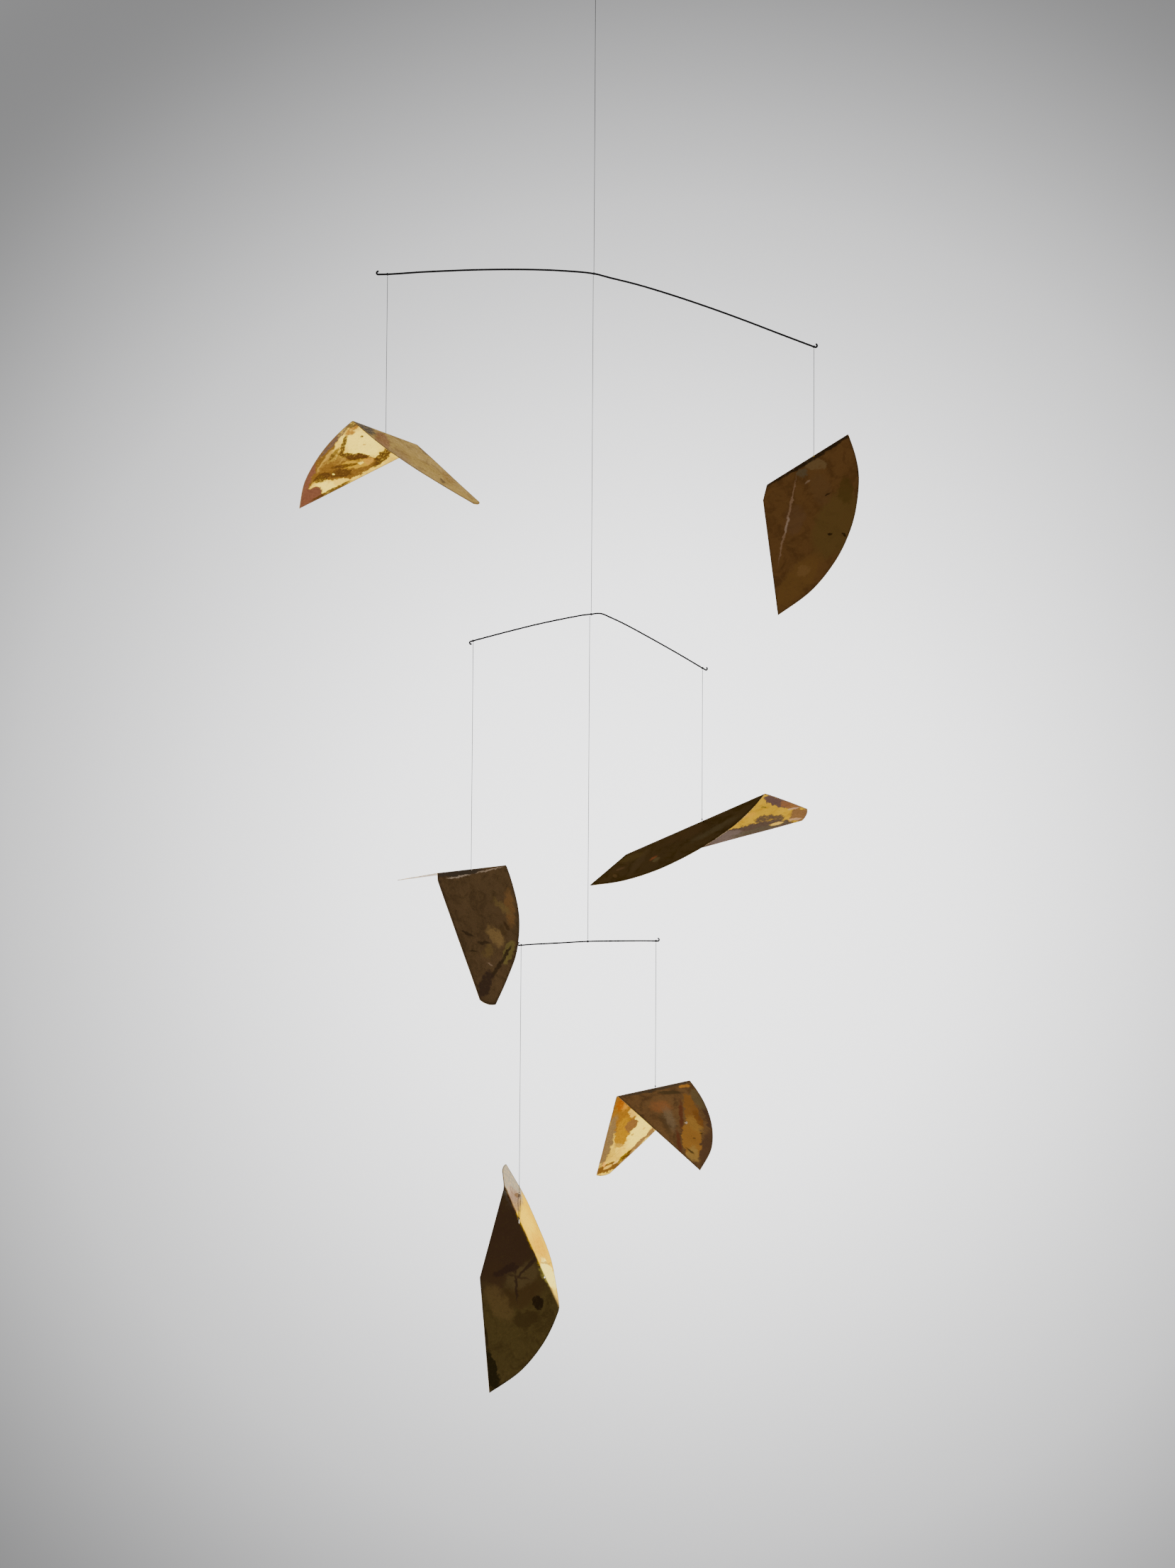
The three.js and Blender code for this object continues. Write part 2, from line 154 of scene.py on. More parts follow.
def centripetal_spline(knots: Array, fine: int) -> Array:
    """A curve through knots whose timing is the square root of their spacing.

    The slope at a knot is the mean of the chords on both sides, less the chord across
    them, each divided by its own time. The ends reach on by a mirrored knot.

    Args:
        knots: points that the curve passes through.
        fine: how many points to return.

    Returns:
        Points of the curve.
    """
    padded = np.vstack([2 * knots[0] - knots[1], knots, 2 * knots[-1] - knots[-2]])
    time = np.linspace(0, len(knots) - 1, fine)
    span = np.minimum(time.astype(int), len(knots) - 2)
    p = [padded[span + k] for k in range(4)]
    d = [np.sqrt(np.linalg.norm(p[k + 1] - p[k], axis=1))[:, None] for k in range(3)]
    chord = (p[2] - p[1]) / d[1]
    out = ((p[1] - p[0]) / d[0] - (p[2] - p[0]) / (d[0] + d[1]) + chord) * d[1]
    into = (chord - (p[3] - p[1]) / (d[1] + d[2]) + (p[3] - p[2]) / d[2]) * d[1]
    return hermite(p[1], p[2], out, into, time - span)


def circle(count: int) -> Array:
    """Points at equal angles round a unit circle."""
    angle = np.linspace(0, 2 * math.pi, count, endpoint=False)
    return np.stack([np.cos(angle), np.sin(angle)], 1)


def turned(points: Array, heading: float) -> Array:
    """Points turned about +Z.

    Args:
        points: points or directions.
        heading: the turn, radians.

    Returns:
        The turned points.
    """
    cos, sin = math.cos(heading), math.sin(heading)
    return points @ np.array([[cos, -sin, 0], [sin, cos, 0], [0, 0, 1]]).T


# ------------------------------------------------------------------ meshes as arrays


def grid_faces(rows: int, columns: int, wrap: bool) -> Array:
    """Corner numbers of the quads of a grid of points, row by row.

    Args:
        rows: how many rows of points.
        columns: how many points in a row.
        wrap: whether the last column joins the first.

    Returns:
        One line of four corners for each quad.
    """
    i = np.arange(rows - 1)[:, None] * columns
    j = np.arange(columns if wrap else columns - 1)[None, :]
    after = (j + 1) % columns
    corners = [i + j, i + after, i + columns + after, i + columns + j]
    return np.stack([np.broadcast_to(c, (rows - 1, j.size)) for c in corners], -1).reshape(-1, 4)


def add_mesh(name: str, points: Array, quads: Array, caps: list[list[int]] | None = None) -> Solid:
    """A new object from points in millimetres and faces, at the origin, shaded smooth.

    Args:
        name: the piece's name.
        points: its vertices, in millimetres in the part's frame.
        quads: its four-sided faces.
        caps: other faces, as lists of corners.

    Returns:
        The object, linked to the scene.
    """
    mesh = bpy.data.meshes.new(name)
    mesh.from_pydata((points * MM).tolist(), [], quads.tolist() + (caps or []))
    mesh.polygons.foreach_set("use_smooth", np.ones(len(mesh.polygons), bool))
    mesh.update()
    piece = bpy.data.objects.new(name, mesh)
    bpy.context.scene.collection.objects.link(piece)
    return piece


def dress(piece: Solid, node: str, body: str, slot: str, *materials: Material) -> Solid:
    """Gives a piece its materials and the body it moves with, and hides the solid it stands for.

    Args:
        piece: the piece.
        node: the solid.
        body: the body.
        slot: not used.
        materials: materials to add.

    Returns:
        The same piece.
    """
    for material in materials:
        piece.data.materials.append(material)
    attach(piece, body)
    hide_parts(node)
    LOG.info("%s: %d faces, moves with %s", piece.name, len(piece.data.polygons), body)
    return piece


def side_frames(line: Array, reference: Array) -> tuple[Array, Array]:
    """Two unit vectors square to a line at each of its points.

    The first is the reference direction less its share along the line; the second is
    the line's direction crossed with the first.

    Args:
        line: points of the line.
        reference: a direction that the line never takes.

    Returns:
        Both vectors at each point.
    """
    along = np.gradient(line, axis=0)
    along /= np.linalg.norm(along, axis=1)[:, None]
    first = reference - (along @ reference)[:, None] * along
    first /= np.linalg.norm(first, axis=1)[:, None]
    return first, np.cross(along, first)


@dataclass(frozen=True)
class Strand:
    """A round or laid strand along a line.

    Attributes:
        radius: mean radius, mm.
        sides: points round it.
        plies: how many plies are twisted together, 0 for plain wire.
        pitch: length of one turn of the twist, mm.
        ridge: how far the plies stand out, as a share of the radius.
    """

    radius: float
    sides: int = 12
    plies: int = 0
    pitch: float = 2.4
    ridge: float = 0.1

    def skin(self, line: Array, reference: Array) -> Array:
        """The strand's surface points.

        A point at angle a and distance s along the line stands off it by the radius
        times 1 plus the ridge times the cosine of plies times (a less the twist at s).

        Args:
            line: points of the middle line, mm.
            reference: direction that angle 0 faces.

        Returns:
            The points, ring by ring.
        """
        first, second = side_frames(line, reference)
        angle = np.linspace(0, 2 * math.pi, self.sides, endpoint=False)[None, :]
        twist = 2 * math.pi * travelled(line)[:, None] / self.pitch
        ridge = self.ridge if self.plies else 0.0
        reach = self.radius * (1 + ridge * np.cos(self.plies * (angle - twist)))[..., None]
        cos, sin = np.cos(angle)[..., None], np.sin(angle)[..., None]
        across = cos * first[:, None] + sin * second[:, None]
        return (line[:, None] + reach * across).reshape(-1, 3)

    def build(self, name: str, line: Array, reference: Array) -> Solid:
        """The strand as a closed mesh with flat ends.

        Args:
            name: the piece's name.
            line: points of the middle line, mm.
            reference: direction that angle 0 faces.

        Returns:
            The piece, without a finish.
        """
        first_end = list(range(self.sides))
        last_end = [(len(line) - 1) * self.sides + corner for corner in first_end]
        faces = grid_faces(len(line), self.sides, True)
        return add_mesh(name, self.skin(line, reference), faces, [first_end[::-1], last_end])


# ------------------------------------------------------------------ procedural finishes


class Nodes:
    """A node tree under construction: short calls that add and join nodes."""

    def __init__(self, tree: bpy.types.NodeTree) -> None:
        """Takes the tree that the calls add to."""
        self.tree = tree

    def add(self, kind: str, inputs: dict | None = None, **settings: object) -> bpy.types.Node:
        """A node with its settings, and its inputs set or joined.

        Args:
            kind: the node's type.
            inputs: input sockets by name or number, each with a socket or a value.
            settings: the node's own settings.

        Returns:
            The node.
        """
        node = self.tree.nodes.new(kind)
        for key, value in settings.items():
            setattr(node, key, value)
        for key, value in (inputs or {}).items():
            self.feed(node.inputs[key], value)
        return node

    def feed(self, socket: Socket, value: object) -> None:
        """Joins a socket to another one, or sets its value.

        Args:
            socket: an input.
            value: an output socket, a number, or a colour without its opacity.
        """
        if isinstance(value, bpy.types.NodeSocket):
            self.tree.links.new(value, socket)
        elif isinstance(value, tuple) and len(value) == 3 and socket.type == "RGBA":
            socket.default_value = (*value, 1.0)
        else:
            socket.default_value = value

    def noise(self, where: Socket, scale: float, detail: float = 3, rough: float = 0.55,
              warp: float = 0.0) -> Socket:
        """A cloudy pattern.

        Args:
            where: coordinates.
            scale: how many clouds fit in one step of them.
            detail: how many finer layers are added.
            rough: how strong each finer layer is.
            warp: how far the pattern is pushed about by itself.

        Returns:
            A value from 0 to 1.
        """
        inputs = {"Vector": where, "Scale": scale, "Detail": detail, "Roughness": rough,
                  "Distortion": warp}
        return self.add("ShaderNodeTexNoise", inputs).outputs["Fac"]

    def spread(self, value: Socket, low: float, high: float, to_low: float = 0.0,
               to_high: float = 1.0) -> Socket:
        """A value eased from one range on to another.

        Args:
            value: the value.
            low: where the first range starts.
            high: where it ends.
            to_low: result at low and under it.
            to_high: result at high and over it.

        Returns:
            The eased value.
        """
        inputs = {"Value": value, "From Min": low, "From Max": high, "To Min": to_low,
                  "To Max": to_high}
        node = self.add("ShaderNodeMapRange", inputs, interpolation_type="SMOOTHSTEP")
        return node.outputs["Result"]

    def maths(self, how: str, a: object, b: object, clamp: bool = True) -> Socket:
        """Two values combined by one operation, kept from 0 to 1 unless told otherwise."""
        return self.add("ShaderNodeMath", {0: a, 1: b}, operation=how, use_clamp=clamp).outputs[0]

    def vectors(self, how: str, a: object, b: object) -> Socket:
        """Two vectors combined by one operation."""
        return self.add("ShaderNodeVectorMath", {0: a, 1: b}, operation=how).outputs[0]

    def blend(self, share: object, a: object, b: object) -> Socket:
        """A colour between a and b."""
        return self.add("ShaderNodeMix", {0: share, 6: a, 7: b}, data_type="RGBA").outputs[2]

    def bump(self, height: Socket, distance: float, strength: float = 1.0,
             under: Socket | None = None) -> Socket:
        """A surface direction tilted by a height pattern.

        Args:
            height: the pattern.
            distance: its height, m.
            strength: how much of it counts.
            under: the direction that it tilts, the mesh's own if left out.

        Returns:
            The tilted direction.
        """
        inputs = {"Height": height, "Distance": distance, "Strength": strength}
        if under is not None:
            inputs["Normal"] = under
        return self.add("ShaderNodeBump", inputs).outputs["Normal"]


class Paint(Nodes):
    """A material under construction."""

    def __init__(self, name: str) -> None:
        """Starts a material with a surface shader and nothing on it.

        Args:
            name: the material's name.
        """
        self.material = bpy.data.materials.new(name)
        self.material.use_nodes = True
        super().__init__(self.material.node_tree)
        self.shader = self.tree.nodes["Principled BSDF"]

    def place(self) -> Socket:
        """The object's own coordinates, in metres."""
        return self.add("ShaderNodeTexCoord").outputs["Object"]

    def plate(self) -> Socket:
        """The leaf's flat-plate coordinates: along and across the fold, in decimetres."""
        return self.add("ShaderNodeUVMap", uv_map="plate").outputs["UV"]

    def finish(self, **inputs: object) -> Material:
        """Sets or joins the surface shader's sockets.

        Args:
            inputs: sockets by name, with _ for a space, each with a socket or a value.

        Returns:
            The finished material.
        """
        for name, value in inputs.items():
            self.feed(self.shader.inputs[name.replace("_", " ")], value)
        return self.material


@dataclass(frozen=True)
class WireFinish:
    """Blackened steel wire or cast metal: dull oxide with faint rubbed places.

    Attributes:
        name: the material's name.
        dark: colour of the oxide.
        rubbed: colour where it is worn.
        roughness: gloss of the oxide.
        cloud_scale: worn places in a metre.
        fleck_scale: flecks in a metre.
        relief: height of the flecks, m.
        metal: how metallic it is.
    """

    name: str
    dark: Colour
    rubbed: Colour
    roughness: float
    cloud_scale: float = 160.0
    fleck_scale: float = 1500.0
    relief: float = 0.00008
    metal: float = 0.75

    # Ranges of the noise, some with the values that they become.
    WORN = (0.52, 0.72)
    FLECKED = (0.55, 0.8, 0.0, 0.35)
    GLOSS_RANGE = (0.2, 0.8)
    SMOOTHER, ROUGHER = 0.12, 0.15
    STRENGTH = 0.6

    def make(self) -> Material:
        """The finish on object coordinates.

        Returns:
            The material.
        """
        paint = Paint(self.name)
        where = paint.place()
        cloud = paint.noise(where, self.cloud_scale, 4)
        fleck = paint.noise(where, self.fleck_scale, 3, 0.7)
        worn = paint.spread(cloud, *self.WORN)
        flecked = paint.spread(fleck, *self.FLECKED)
        colour = paint.blend(worn, self.dark, self.rubbed)
        colour = paint.blend(flecked, colour, self.rubbed)
        gloss = paint.spread(fleck, *self.GLOSS_RANGE, self.roughness - self.SMOOTHER,
                             self.roughness + self.ROUGHER)
        return paint.finish(Base_Color=colour, Metallic=self.metal, Roughness=gloss,
                            Normal=paint.bump(fleck, self.relief, self.STRENGTH))


@dataclass(frozen=True)
class ThreadFinish:
    """Dark laid thread: fine fibres in two greys, with no metal and a slight sheen.

    Attributes:
        name: the material's name.
        dark: colour between the fibres.
        pale: colour of the fibres.
        fibre_scale: fibres in a metre.
        slub_scale: thicker places in a metre.
        relief: height of the fibres, m.
        sheen: how much light the fuzz catches.
    """

    name: str = "dark_thread"
    dark: Colour = (0.018, 0.017, 0.016)
    pale: Colour = (0.07, 0.068, 0.065)
    fibre_scale: float = 5200.0
    slub_scale: float = 240.0
    relief: float = 0.00005
    sheen: float = 0.25

    # Ranges of the noise, some with the values that they become.
    LIT = (0.35, 0.75)
    THICK = (0.25, 0.75, 0.4, 1.0)
    GLOSS = (0.2, 0.8, 0.7, 0.95)
    STRENGTH = 0.8

    def make(self) -> Material:
        """The finish on object coordinates.

        Returns:
            The material.
        """
        paint = Paint(self.name)
        where = paint.place()
        fibre = paint.noise(where, self.fibre_scale, 3, 0.65)
        slub = paint.noise(where, self.slub_scale, 2)
        lit = paint.spread(fibre, *self.LIT)
        thick = paint.spread(slub, *self.THICK)
        colour = paint.blend(paint.maths("MULTIPLY", lit, thick), self.dark, self.pale)
        return paint.finish(Base_Color=colour, Sheen_Weight=self.sheen,
                            Roughness=paint.spread(fibre, *self.GLOSS),
                            Normal=paint.bump(fibre, self.relief, self.STRENGTH))


@dataclass(frozen=True)
class Patch:
    """A ragged oval of another tone on a leaf.

    Attributes:
        at: its middle on the plate, mm along and across the fold from the hole.
        size: its half length and half width, mm.
        turn: its heading on the plate, degrees.
        tone: its colour.
        strength: how much of the tone covers what is under it; above 1 it hides even
            thin spots.
        soft: how far the border fades, as a share of its size.
    """

    at: tuple[float, float]
    size: tuple[float, float]
    turn: float
    tone: Colour
    strength: float = 0.8
    soft: float = 0.5


@dataclass(frozen=True)
class Patina:
    """The look of one side of a leaf.

    Attributes:
        tones: darkest, middle and palest colour of the mottling.
        patches: places of another tone.
        edge: colour of the band along the outline.
        edge_width: how far that band reaches in, mm.
        roughness: mean gloss.
        glance: tint of what it reflects at a glancing angle.
        seed: place in the noise field that the mottling is taken from.
        cloud: scale of the mottling, per decimetre.
        torn: how far the borders of wide patches wander, decimetres.
        drawn: the same for narrow ones.
        narrow: half width under which a patch counts as narrow, mm.
    """

    tones: tuple[Colour, Colour, Colour]
    patches: tuple[Patch, ...] = ()
    edge: Colour = (0.05, 0.025, 0.012)
    edge_width: float = 2.0
    roughness: float = 0.3
    glance: Colour = (0.9, 0.85, 0.78)
    seed: float = 0.0
    cloud: float = 6.0
    torn: float = 0.15
    drawn: float = 0.07
    narrow: float = 4.0

    # Scales, per decimetre, and heights, in metres.
    FINE_STEP = 6.0
    RAGGED_SCALE = 14.0
    SPECK_SCALE = 50.0
    SPECK_TONE = 0.35
    DENT_SCALE = 2.2
    DENT_DEPTH = 0.0016
    PATINA_THICKNESS = 0.0002
    GRAIN_SCALE = 260.0
    GRAIN_DEPTH = 0.00002
    # Ranges of the noise, some with the values that they become.
    MIDDLE_TONE = (0.36, 0.56)
    PALEST_TONE = (0.46, 0.74, 0.0, 0.45)
    SPECKS = (0.68, 0.74, 0.0, 0.5)
    THINNING = (0.3, 0.52, 0.62, 1.0)
    GLOSS_RANGE = (0.3, 0.75)
    SMOOTHER, ROUGHER = 0.08, 0.16
    # The band along the outline, in shares of its width: how far the mottling shifts it,
    # where it starts to fade and where it ends. Then how much it covers.
    BAND_SHIFT, BAND_FADE, BAND_END = 2.4, 0.9, 2.6
    BAND_COVER = 0.85

    def make(self, name: str) -> Material:
        """The patina, and the painted shade that some patches lay along the fold, on the plate's
        own coordinates.

        Args:
            name: the material's name.

        Returns:
            The material.
        """
        paint = Paint(name)
        flat = paint.plate()
        where = paint.vectors("ADD", flat, (self.seed, 0.37 * self.seed, 0.0))
        torn = self.ragged(paint, flat, where, self.torn)
        drawn = self.ragged(paint, flat, where, self.drawn)
        cloud = paint.noise(where, self.cloud, 6, 0.62, 0.9)
        fine = paint.noise(where, self.FINE_STEP * self.cloud, 5, 0.68, 0.4)
        colour = paint.blend(paint.spread(cloud, *self.MIDDLE_TONE), *self.tones[:2])
        colour = paint.blend(paint.spread(fine, *self.PALEST_TONE), colour, self.tones[2])
        for patch in self.patches:
            ragged = drawn if min(patch.size) < self.narrow else torn
            colour = self.lay(paint, colour, patch, ragged, fine)
        colour = self.border(paint, colour, fine)
        speck = paint.spread(paint.noise(where, self.SPECK_SCALE, 2, 0.6), *self.SPECKS)
        colour = paint.blend(speck, colour, tuple(self.SPECK_TONE * c for c in self.tones[0]))
        gloss = paint.spread(fine, *self.GLOSS_RANGE, self.roughness - self.SMOOTHER,
                             self.roughness + self.ROUGHER)
        return paint.finish(Base_Color=colour, Metallic=1.0, Roughness=gloss,
                            Specular_Tint=paint.blend(0.5, colour, self.glance),
                            Normal=self.relief(paint, where, cloud))

    def ragged(self, paint: Paint, flat: Socket, where: Socket, push: float) -> Socket:
        """The plate's coordinates pushed about by noise, so that borders are irregular.

        Args:
            paint: the material.
            flat: the plate's coordinates.
            where: the same, moved by the seed.
            push: how far, decimetres.

        Returns:
            The pushed coordinates.
        """
        noise = paint.add("ShaderNodeTexNoise", {
            "Vector": where, "Scale": self.RAGGED_SCALE, "Detail": 5.0, "Roughness": 0.65})
        centred = paint.vectors("SUBTRACT", noise.outputs["Color"], (0.5, 0.5, 0.5))
        scaled = paint.add("ShaderNodeVectorMath", {0: centred, "Scale": push}, operation="SCALE")
        return paint.vectors("ADD", flat, scaled.outputs[0])

    def lay(self, paint: Paint, colour: Socket, patch: Patch, ragged: Socket,
            fine: Socket) -> Socket:
        """The colour with one patch laid over it, as far as its reach stays under 1.

        The reach is the distance from the patch's middle in half lengths and half widths.

        Args:
            paint: the material.
            colour: what is under the patch.
            patch: the patch.
            ragged: coordinates that give it its border.
            fine: mottling that thins it.

        Returns:
            The new colour.
        """
        local = paint.add("ShaderNodeMapping", {
            "Vector": ragged,
            "Location": (patch.at[0] / PLATE_UNIT, patch.at[1] / PLATE_UNIT, 0.0),
            "Rotation": (0.0, 0.0, math.radians(patch.turn)),
            "Scale": (patch.size[0] / PLATE_UNIT, patch.size[1] / PLATE_UNIT, 1.0),
        }, vector_type="TEXTURE").outputs[0]
        flat = paint.vectors("MULTIPLY", local, (1.0, 1.0, 0.0))
        length = paint.add("ShaderNodeVectorMath", {0: flat}, operation="LENGTH")
        fade = patch.soft / 2
        cover = paint.spread(length.outputs["Value"], 1 - fade, 1 + fade, patch.strength, 0.0)
        thinned = paint.maths("MULTIPLY", cover, paint.spread(fine, *self.THINNING))
        return paint.blend(thinned, colour, patch.tone)

    def border(self, paint: Paint, colour: Socket, fine: Socket) -> Socket:
        """The colour with a darker band of uneven width along the outline.

        Args:
            paint: the material.
            colour: what is under the band.
            fine: mottling that makes its width uneven.

        Returns:
            The new colour.
        """
        from_edge = paint.add("ShaderNodeAttribute", attribute_name="from_edge").outputs["Fac"]
        width = self.edge_width
        uneven = paint.add("ShaderNodeMath", {0: fine, 1: self.BAND_SHIFT * width, 2: from_edge},
                           operation="MULTIPLY_ADD").outputs[0]
        band = paint.spread(uneven, self.BAND_FADE * width, self.BAND_END * width,
                            self.BAND_COVER, 0.0)
        return paint.blend(band, colour, self.edge)

    def relief(self, paint: Paint, where: Socket, cloud: Socket) -> Socket:
        """Soft dents of the sheet, the thickness of the patina, and fine scratches.

        Args:
            paint: the material.
            where: coordinates.
            cloud: the mottling, which is also the patina's thickness.

        Returns:
            The surface direction.
        """
        dents = paint.noise(where, self.DENT_SCALE, 2, 0.5)
        grain = paint.noise(where, self.GRAIN_SCALE, 3, 0.6)
        low = paint.bump(dents, self.DENT_DEPTH, 0.4)
        middle = paint.bump(cloud, self.PATINA_THICKNESS, 0.3, low)
        return paint.bump(grain, self.GRAIN_DEPTH, 0.2, middle)


@dataclass(frozen=True)
class CutEdge:
    """The sheared rim of the sheet: bright brass with dull places.

    Attributes:
        name: the material's name.
        bright: colour of bare brass.
        dull: colour of the dull places.
        cloud_scale: dull places in a metre.
        grain_scale: shear marks in a metre.
        relief: height of the shear marks, m.
        metal: how metallic it is.
    """

    name: str = "leaf_rim"
    bright: Colour = (0.55, 0.36, 0.13)
    dull: Colour = (0.16, 0.09, 0.035)
    cloud_scale: float = 90.0
    grain_scale: float = 2600.0
    relief: float = 0.00004
    metal: float = 0.9

    # Ranges of the noise, some with the values that they become.
    DULLED = (0.42, 0.62)
    GLOSS = (0.3, 0.7, 0.28, 0.5)
    STRENGTH = 0.5

    def make(self) -> Material:
        """The rim on object coordinates.

        Returns:
            The material.
        """
        paint = Paint(self.name)
        where = paint.place()
        cloud = paint.noise(where, self.cloud_scale, 4, 0.6)
        grain = paint.noise(where, self.grain_scale, 2)
        colour = paint.blend(paint.spread(cloud, *self.DULLED), self.bright, self.dull)
        return paint.finish(Base_Color=colour, Metallic=self.metal,
                            Roughness=paint.spread(cloud, *self.GLOSS),
                            Normal=paint.bump(grain, self.relief, self.STRENGTH))


# ------------------------------------------------------------------ leaves


@dataclass(frozen=True)
class Cut:
    """The round side of a leaf's plate, and its blunt end.

    Attributes:
        arc: shares of the corner's angle, each with the radius there, in leaf lengths.
        blunt_end: length of the blunt edge, in leaf lengths.
        blunt_bulge: how far the blunt end is rounded, as a share of its width.
    """

    arc: tuple[tuple[float, float], ...]
    blunt_end: float
    blunt_bulge: float


PLAIN_CUT = Cut(
    ((0, 1), (0.12, 0.894), (0.25, 0.816), (0.38, 0.78), (0.5, 0.78), (0.62, 0.818),
     (0.75, 0.878), (0.86, 0.954), (0.952, 1.086)), 1.018, 0.111)
NARROW_CUT = Cut(
    ((0, 1), (0.12, 0.903), (0.25, 0.828), (0.38, 0.788), (0.5, 0.786), (0.62, 0.824),
     (0.75, 0.852), (0.86, 0.936), (0.972, 1.075)), 0.973, 0.104)

# Tones of the patina; one of them also paints the shade along leaf 2's fold.
SOOT_AND_SHADE = (0.07, 0.042, 0.02)
DEEP = (0.07, 0.031, 0.009)
BROWN = (0.15, 0.072, 0.014)
PLUM = (0.08, 0.052, 0.036)
RUSSET = (0.26, 0.11, 0.04)
ORANGE = (0.66, 0.29, 0.035)
TAN = (0.55, 0.34, 0.14)
BRASS = (0.44, 0.25, 0.035)
GOLD = (0.74, 0.44, 0.05)
STRAW = (1.0, 0.74, 0.09)

BRIGHT = ((0.62, 0.37, 0.03), (0.8, 0.52, 0.045), (1.0, 0.71, 0.07))
OLD_BRASS = ((0.28, 0.17, 0.04), (0.43, 0.285, 0.07), (0.54, 0.38, 0.1))
CHESTNUT = ((0.33, 0.15, 0.045), (0.44, 0.205, 0.062), (0.53, 0.275, 0.09))
SMOKE = ((0.125, 0.073, 0.032), (0.17, 0.1, 0.045), (0.21, 0.13, 0.06))
NIGHT = ((0.062, 0.039, 0.018), (0.08, 0.051, 0.025), (0.11, 0.072, 0.036))
UMBER = ((0.2, 0.105, 0.045), (0.31, 0.165, 0.065), (0.41, 0.24, 0.1))
MOSS = ((0.22, 0.14, 0.042), (0.3, 0.2, 0.06), (0.4, 0.27, 0.085))

LEAF_1_OUTER = Patina(OLD_BRASS, (
    Patch((36, -8), (15, 11), -45, (0.075, 0.062, 0.048), 0.95),
    Patch((25, -27), (27, 8), -52, RUSSET, 0.85),
    Patch((15, -50), (22, 10), -50, (0.27, 0.15, 0.045), 0.6, 0.9),
    Patch((-42, -64), (14, 7), -60, (0.3, 0.17, 0.03), 0.75, 0.9),
    Patch((-28, -43), (7, 2.5), -60, (0.28, 0.17, 0.04), 0.75),
    Patch((-23, -78), (6, 3), -60, (0.14, 0.08, 0.02), 0.95),
    Patch((-46, -14), (9, 5), -80, (0.2, 0.13, 0.05), 0.85),
    Patch((10, 40), (40, 14), 60, RUSSET, 0.7),
), (0.2, 0.11, 0.03), 3.0, seed=1.0)
LEAF_1_INNER = Patina(BRIGHT, (
    Patch((14, 22), (28, 15), -8, STRAW, 0.9),
    Patch((41, 62), (46, 9), 106, BROWN, 1.3, 0.3),
    Patch((36, 56), (16, 3.5), 100, BRASS, 0.9),
    Patch((-21, 28), (14, 7), 95, DEEP, 0.98, 0.2),
    Patch((-13, 43), (13, 8), 50, DEEP, 0.98, 0.2),
    Patch((6, 54), (30, 17), 35, BROWN, 1.3, 0.15),
    Patch((0, 46), (15, 7), 25, (0.42, 0.23, 0.015), 0.9, 0.3),
    Patch((-10, 38), (5, 4), 0, (0.42, 0.2, 0.02), 0.9),
    Patch((8, 64), (14, 6), 20, DEEP, 0.9, 0.3),
    Patch((22, 50), (9, 4), 60, BRASS, 0.5),
    Patch((27, 60), (19, 9), 100, (0.16, 0.075, 0.014), 0.85),
    Patch((23, 77), (9, 7), 60, DEEP, 0.95, 0.25),
    Patch((33, 30), (14, 2.5), 119, DEEP, 0.95),
    Patch((16, 41), (15, 4), 0, DEEP, 0.98),
    Patch((3, 36), (8, 4), 10, DEEP, 0.98),
    Patch((10, 53), (16, 2.2), 32, DEEP, 0.9),
    Patch((34, 44), (9, 2.5), 95, DEEP, 0.8),
    Patch((-4, 44), (3, 1.5), 20, STRAW, 0.7),
    Patch((14, 68), (2, 1), 0, STRAW, 0.9),
    Patch((22, 14), (1.8, 1.5), 0, DEEP, 1.0),
    Patch((12, 22), (1.4, 1), 0, BRASS, 0.9),
    Patch((8, 85), (13, 8), 0, STRAW, 0.85),
    Patch((17, 106), (17, 13), 70, (0.13, 0.05, 0.026), 1.6, 0.2),
    Patch((38, 84), (26, 6), 115, (0.14, 0.055, 0.028), 1.4, 0.4),
    Patch((-1, 88), (23, 3.5), 62, DEEP, 0.95, 0.4),
    Patch((39, 10), (9, 4.5), 80, (0.26, 0.1, 0.015), 0.9),
    Patch((46, 30), (24, 2.6), 92, (0.1, 0.06, 0.04), 0.9),
    Patch((43, 4), (8, 4), 60, SOOT_AND_SHADE, 0.9),
    Patch((10, -50), (40, 18), -60, BROWN, 0.9, 0.3),
    Patch((4, -50), (22, 9), -60, BRASS, 0.85),
), (0.12, 0.06, 0.03), 1.8, seed=2.0)
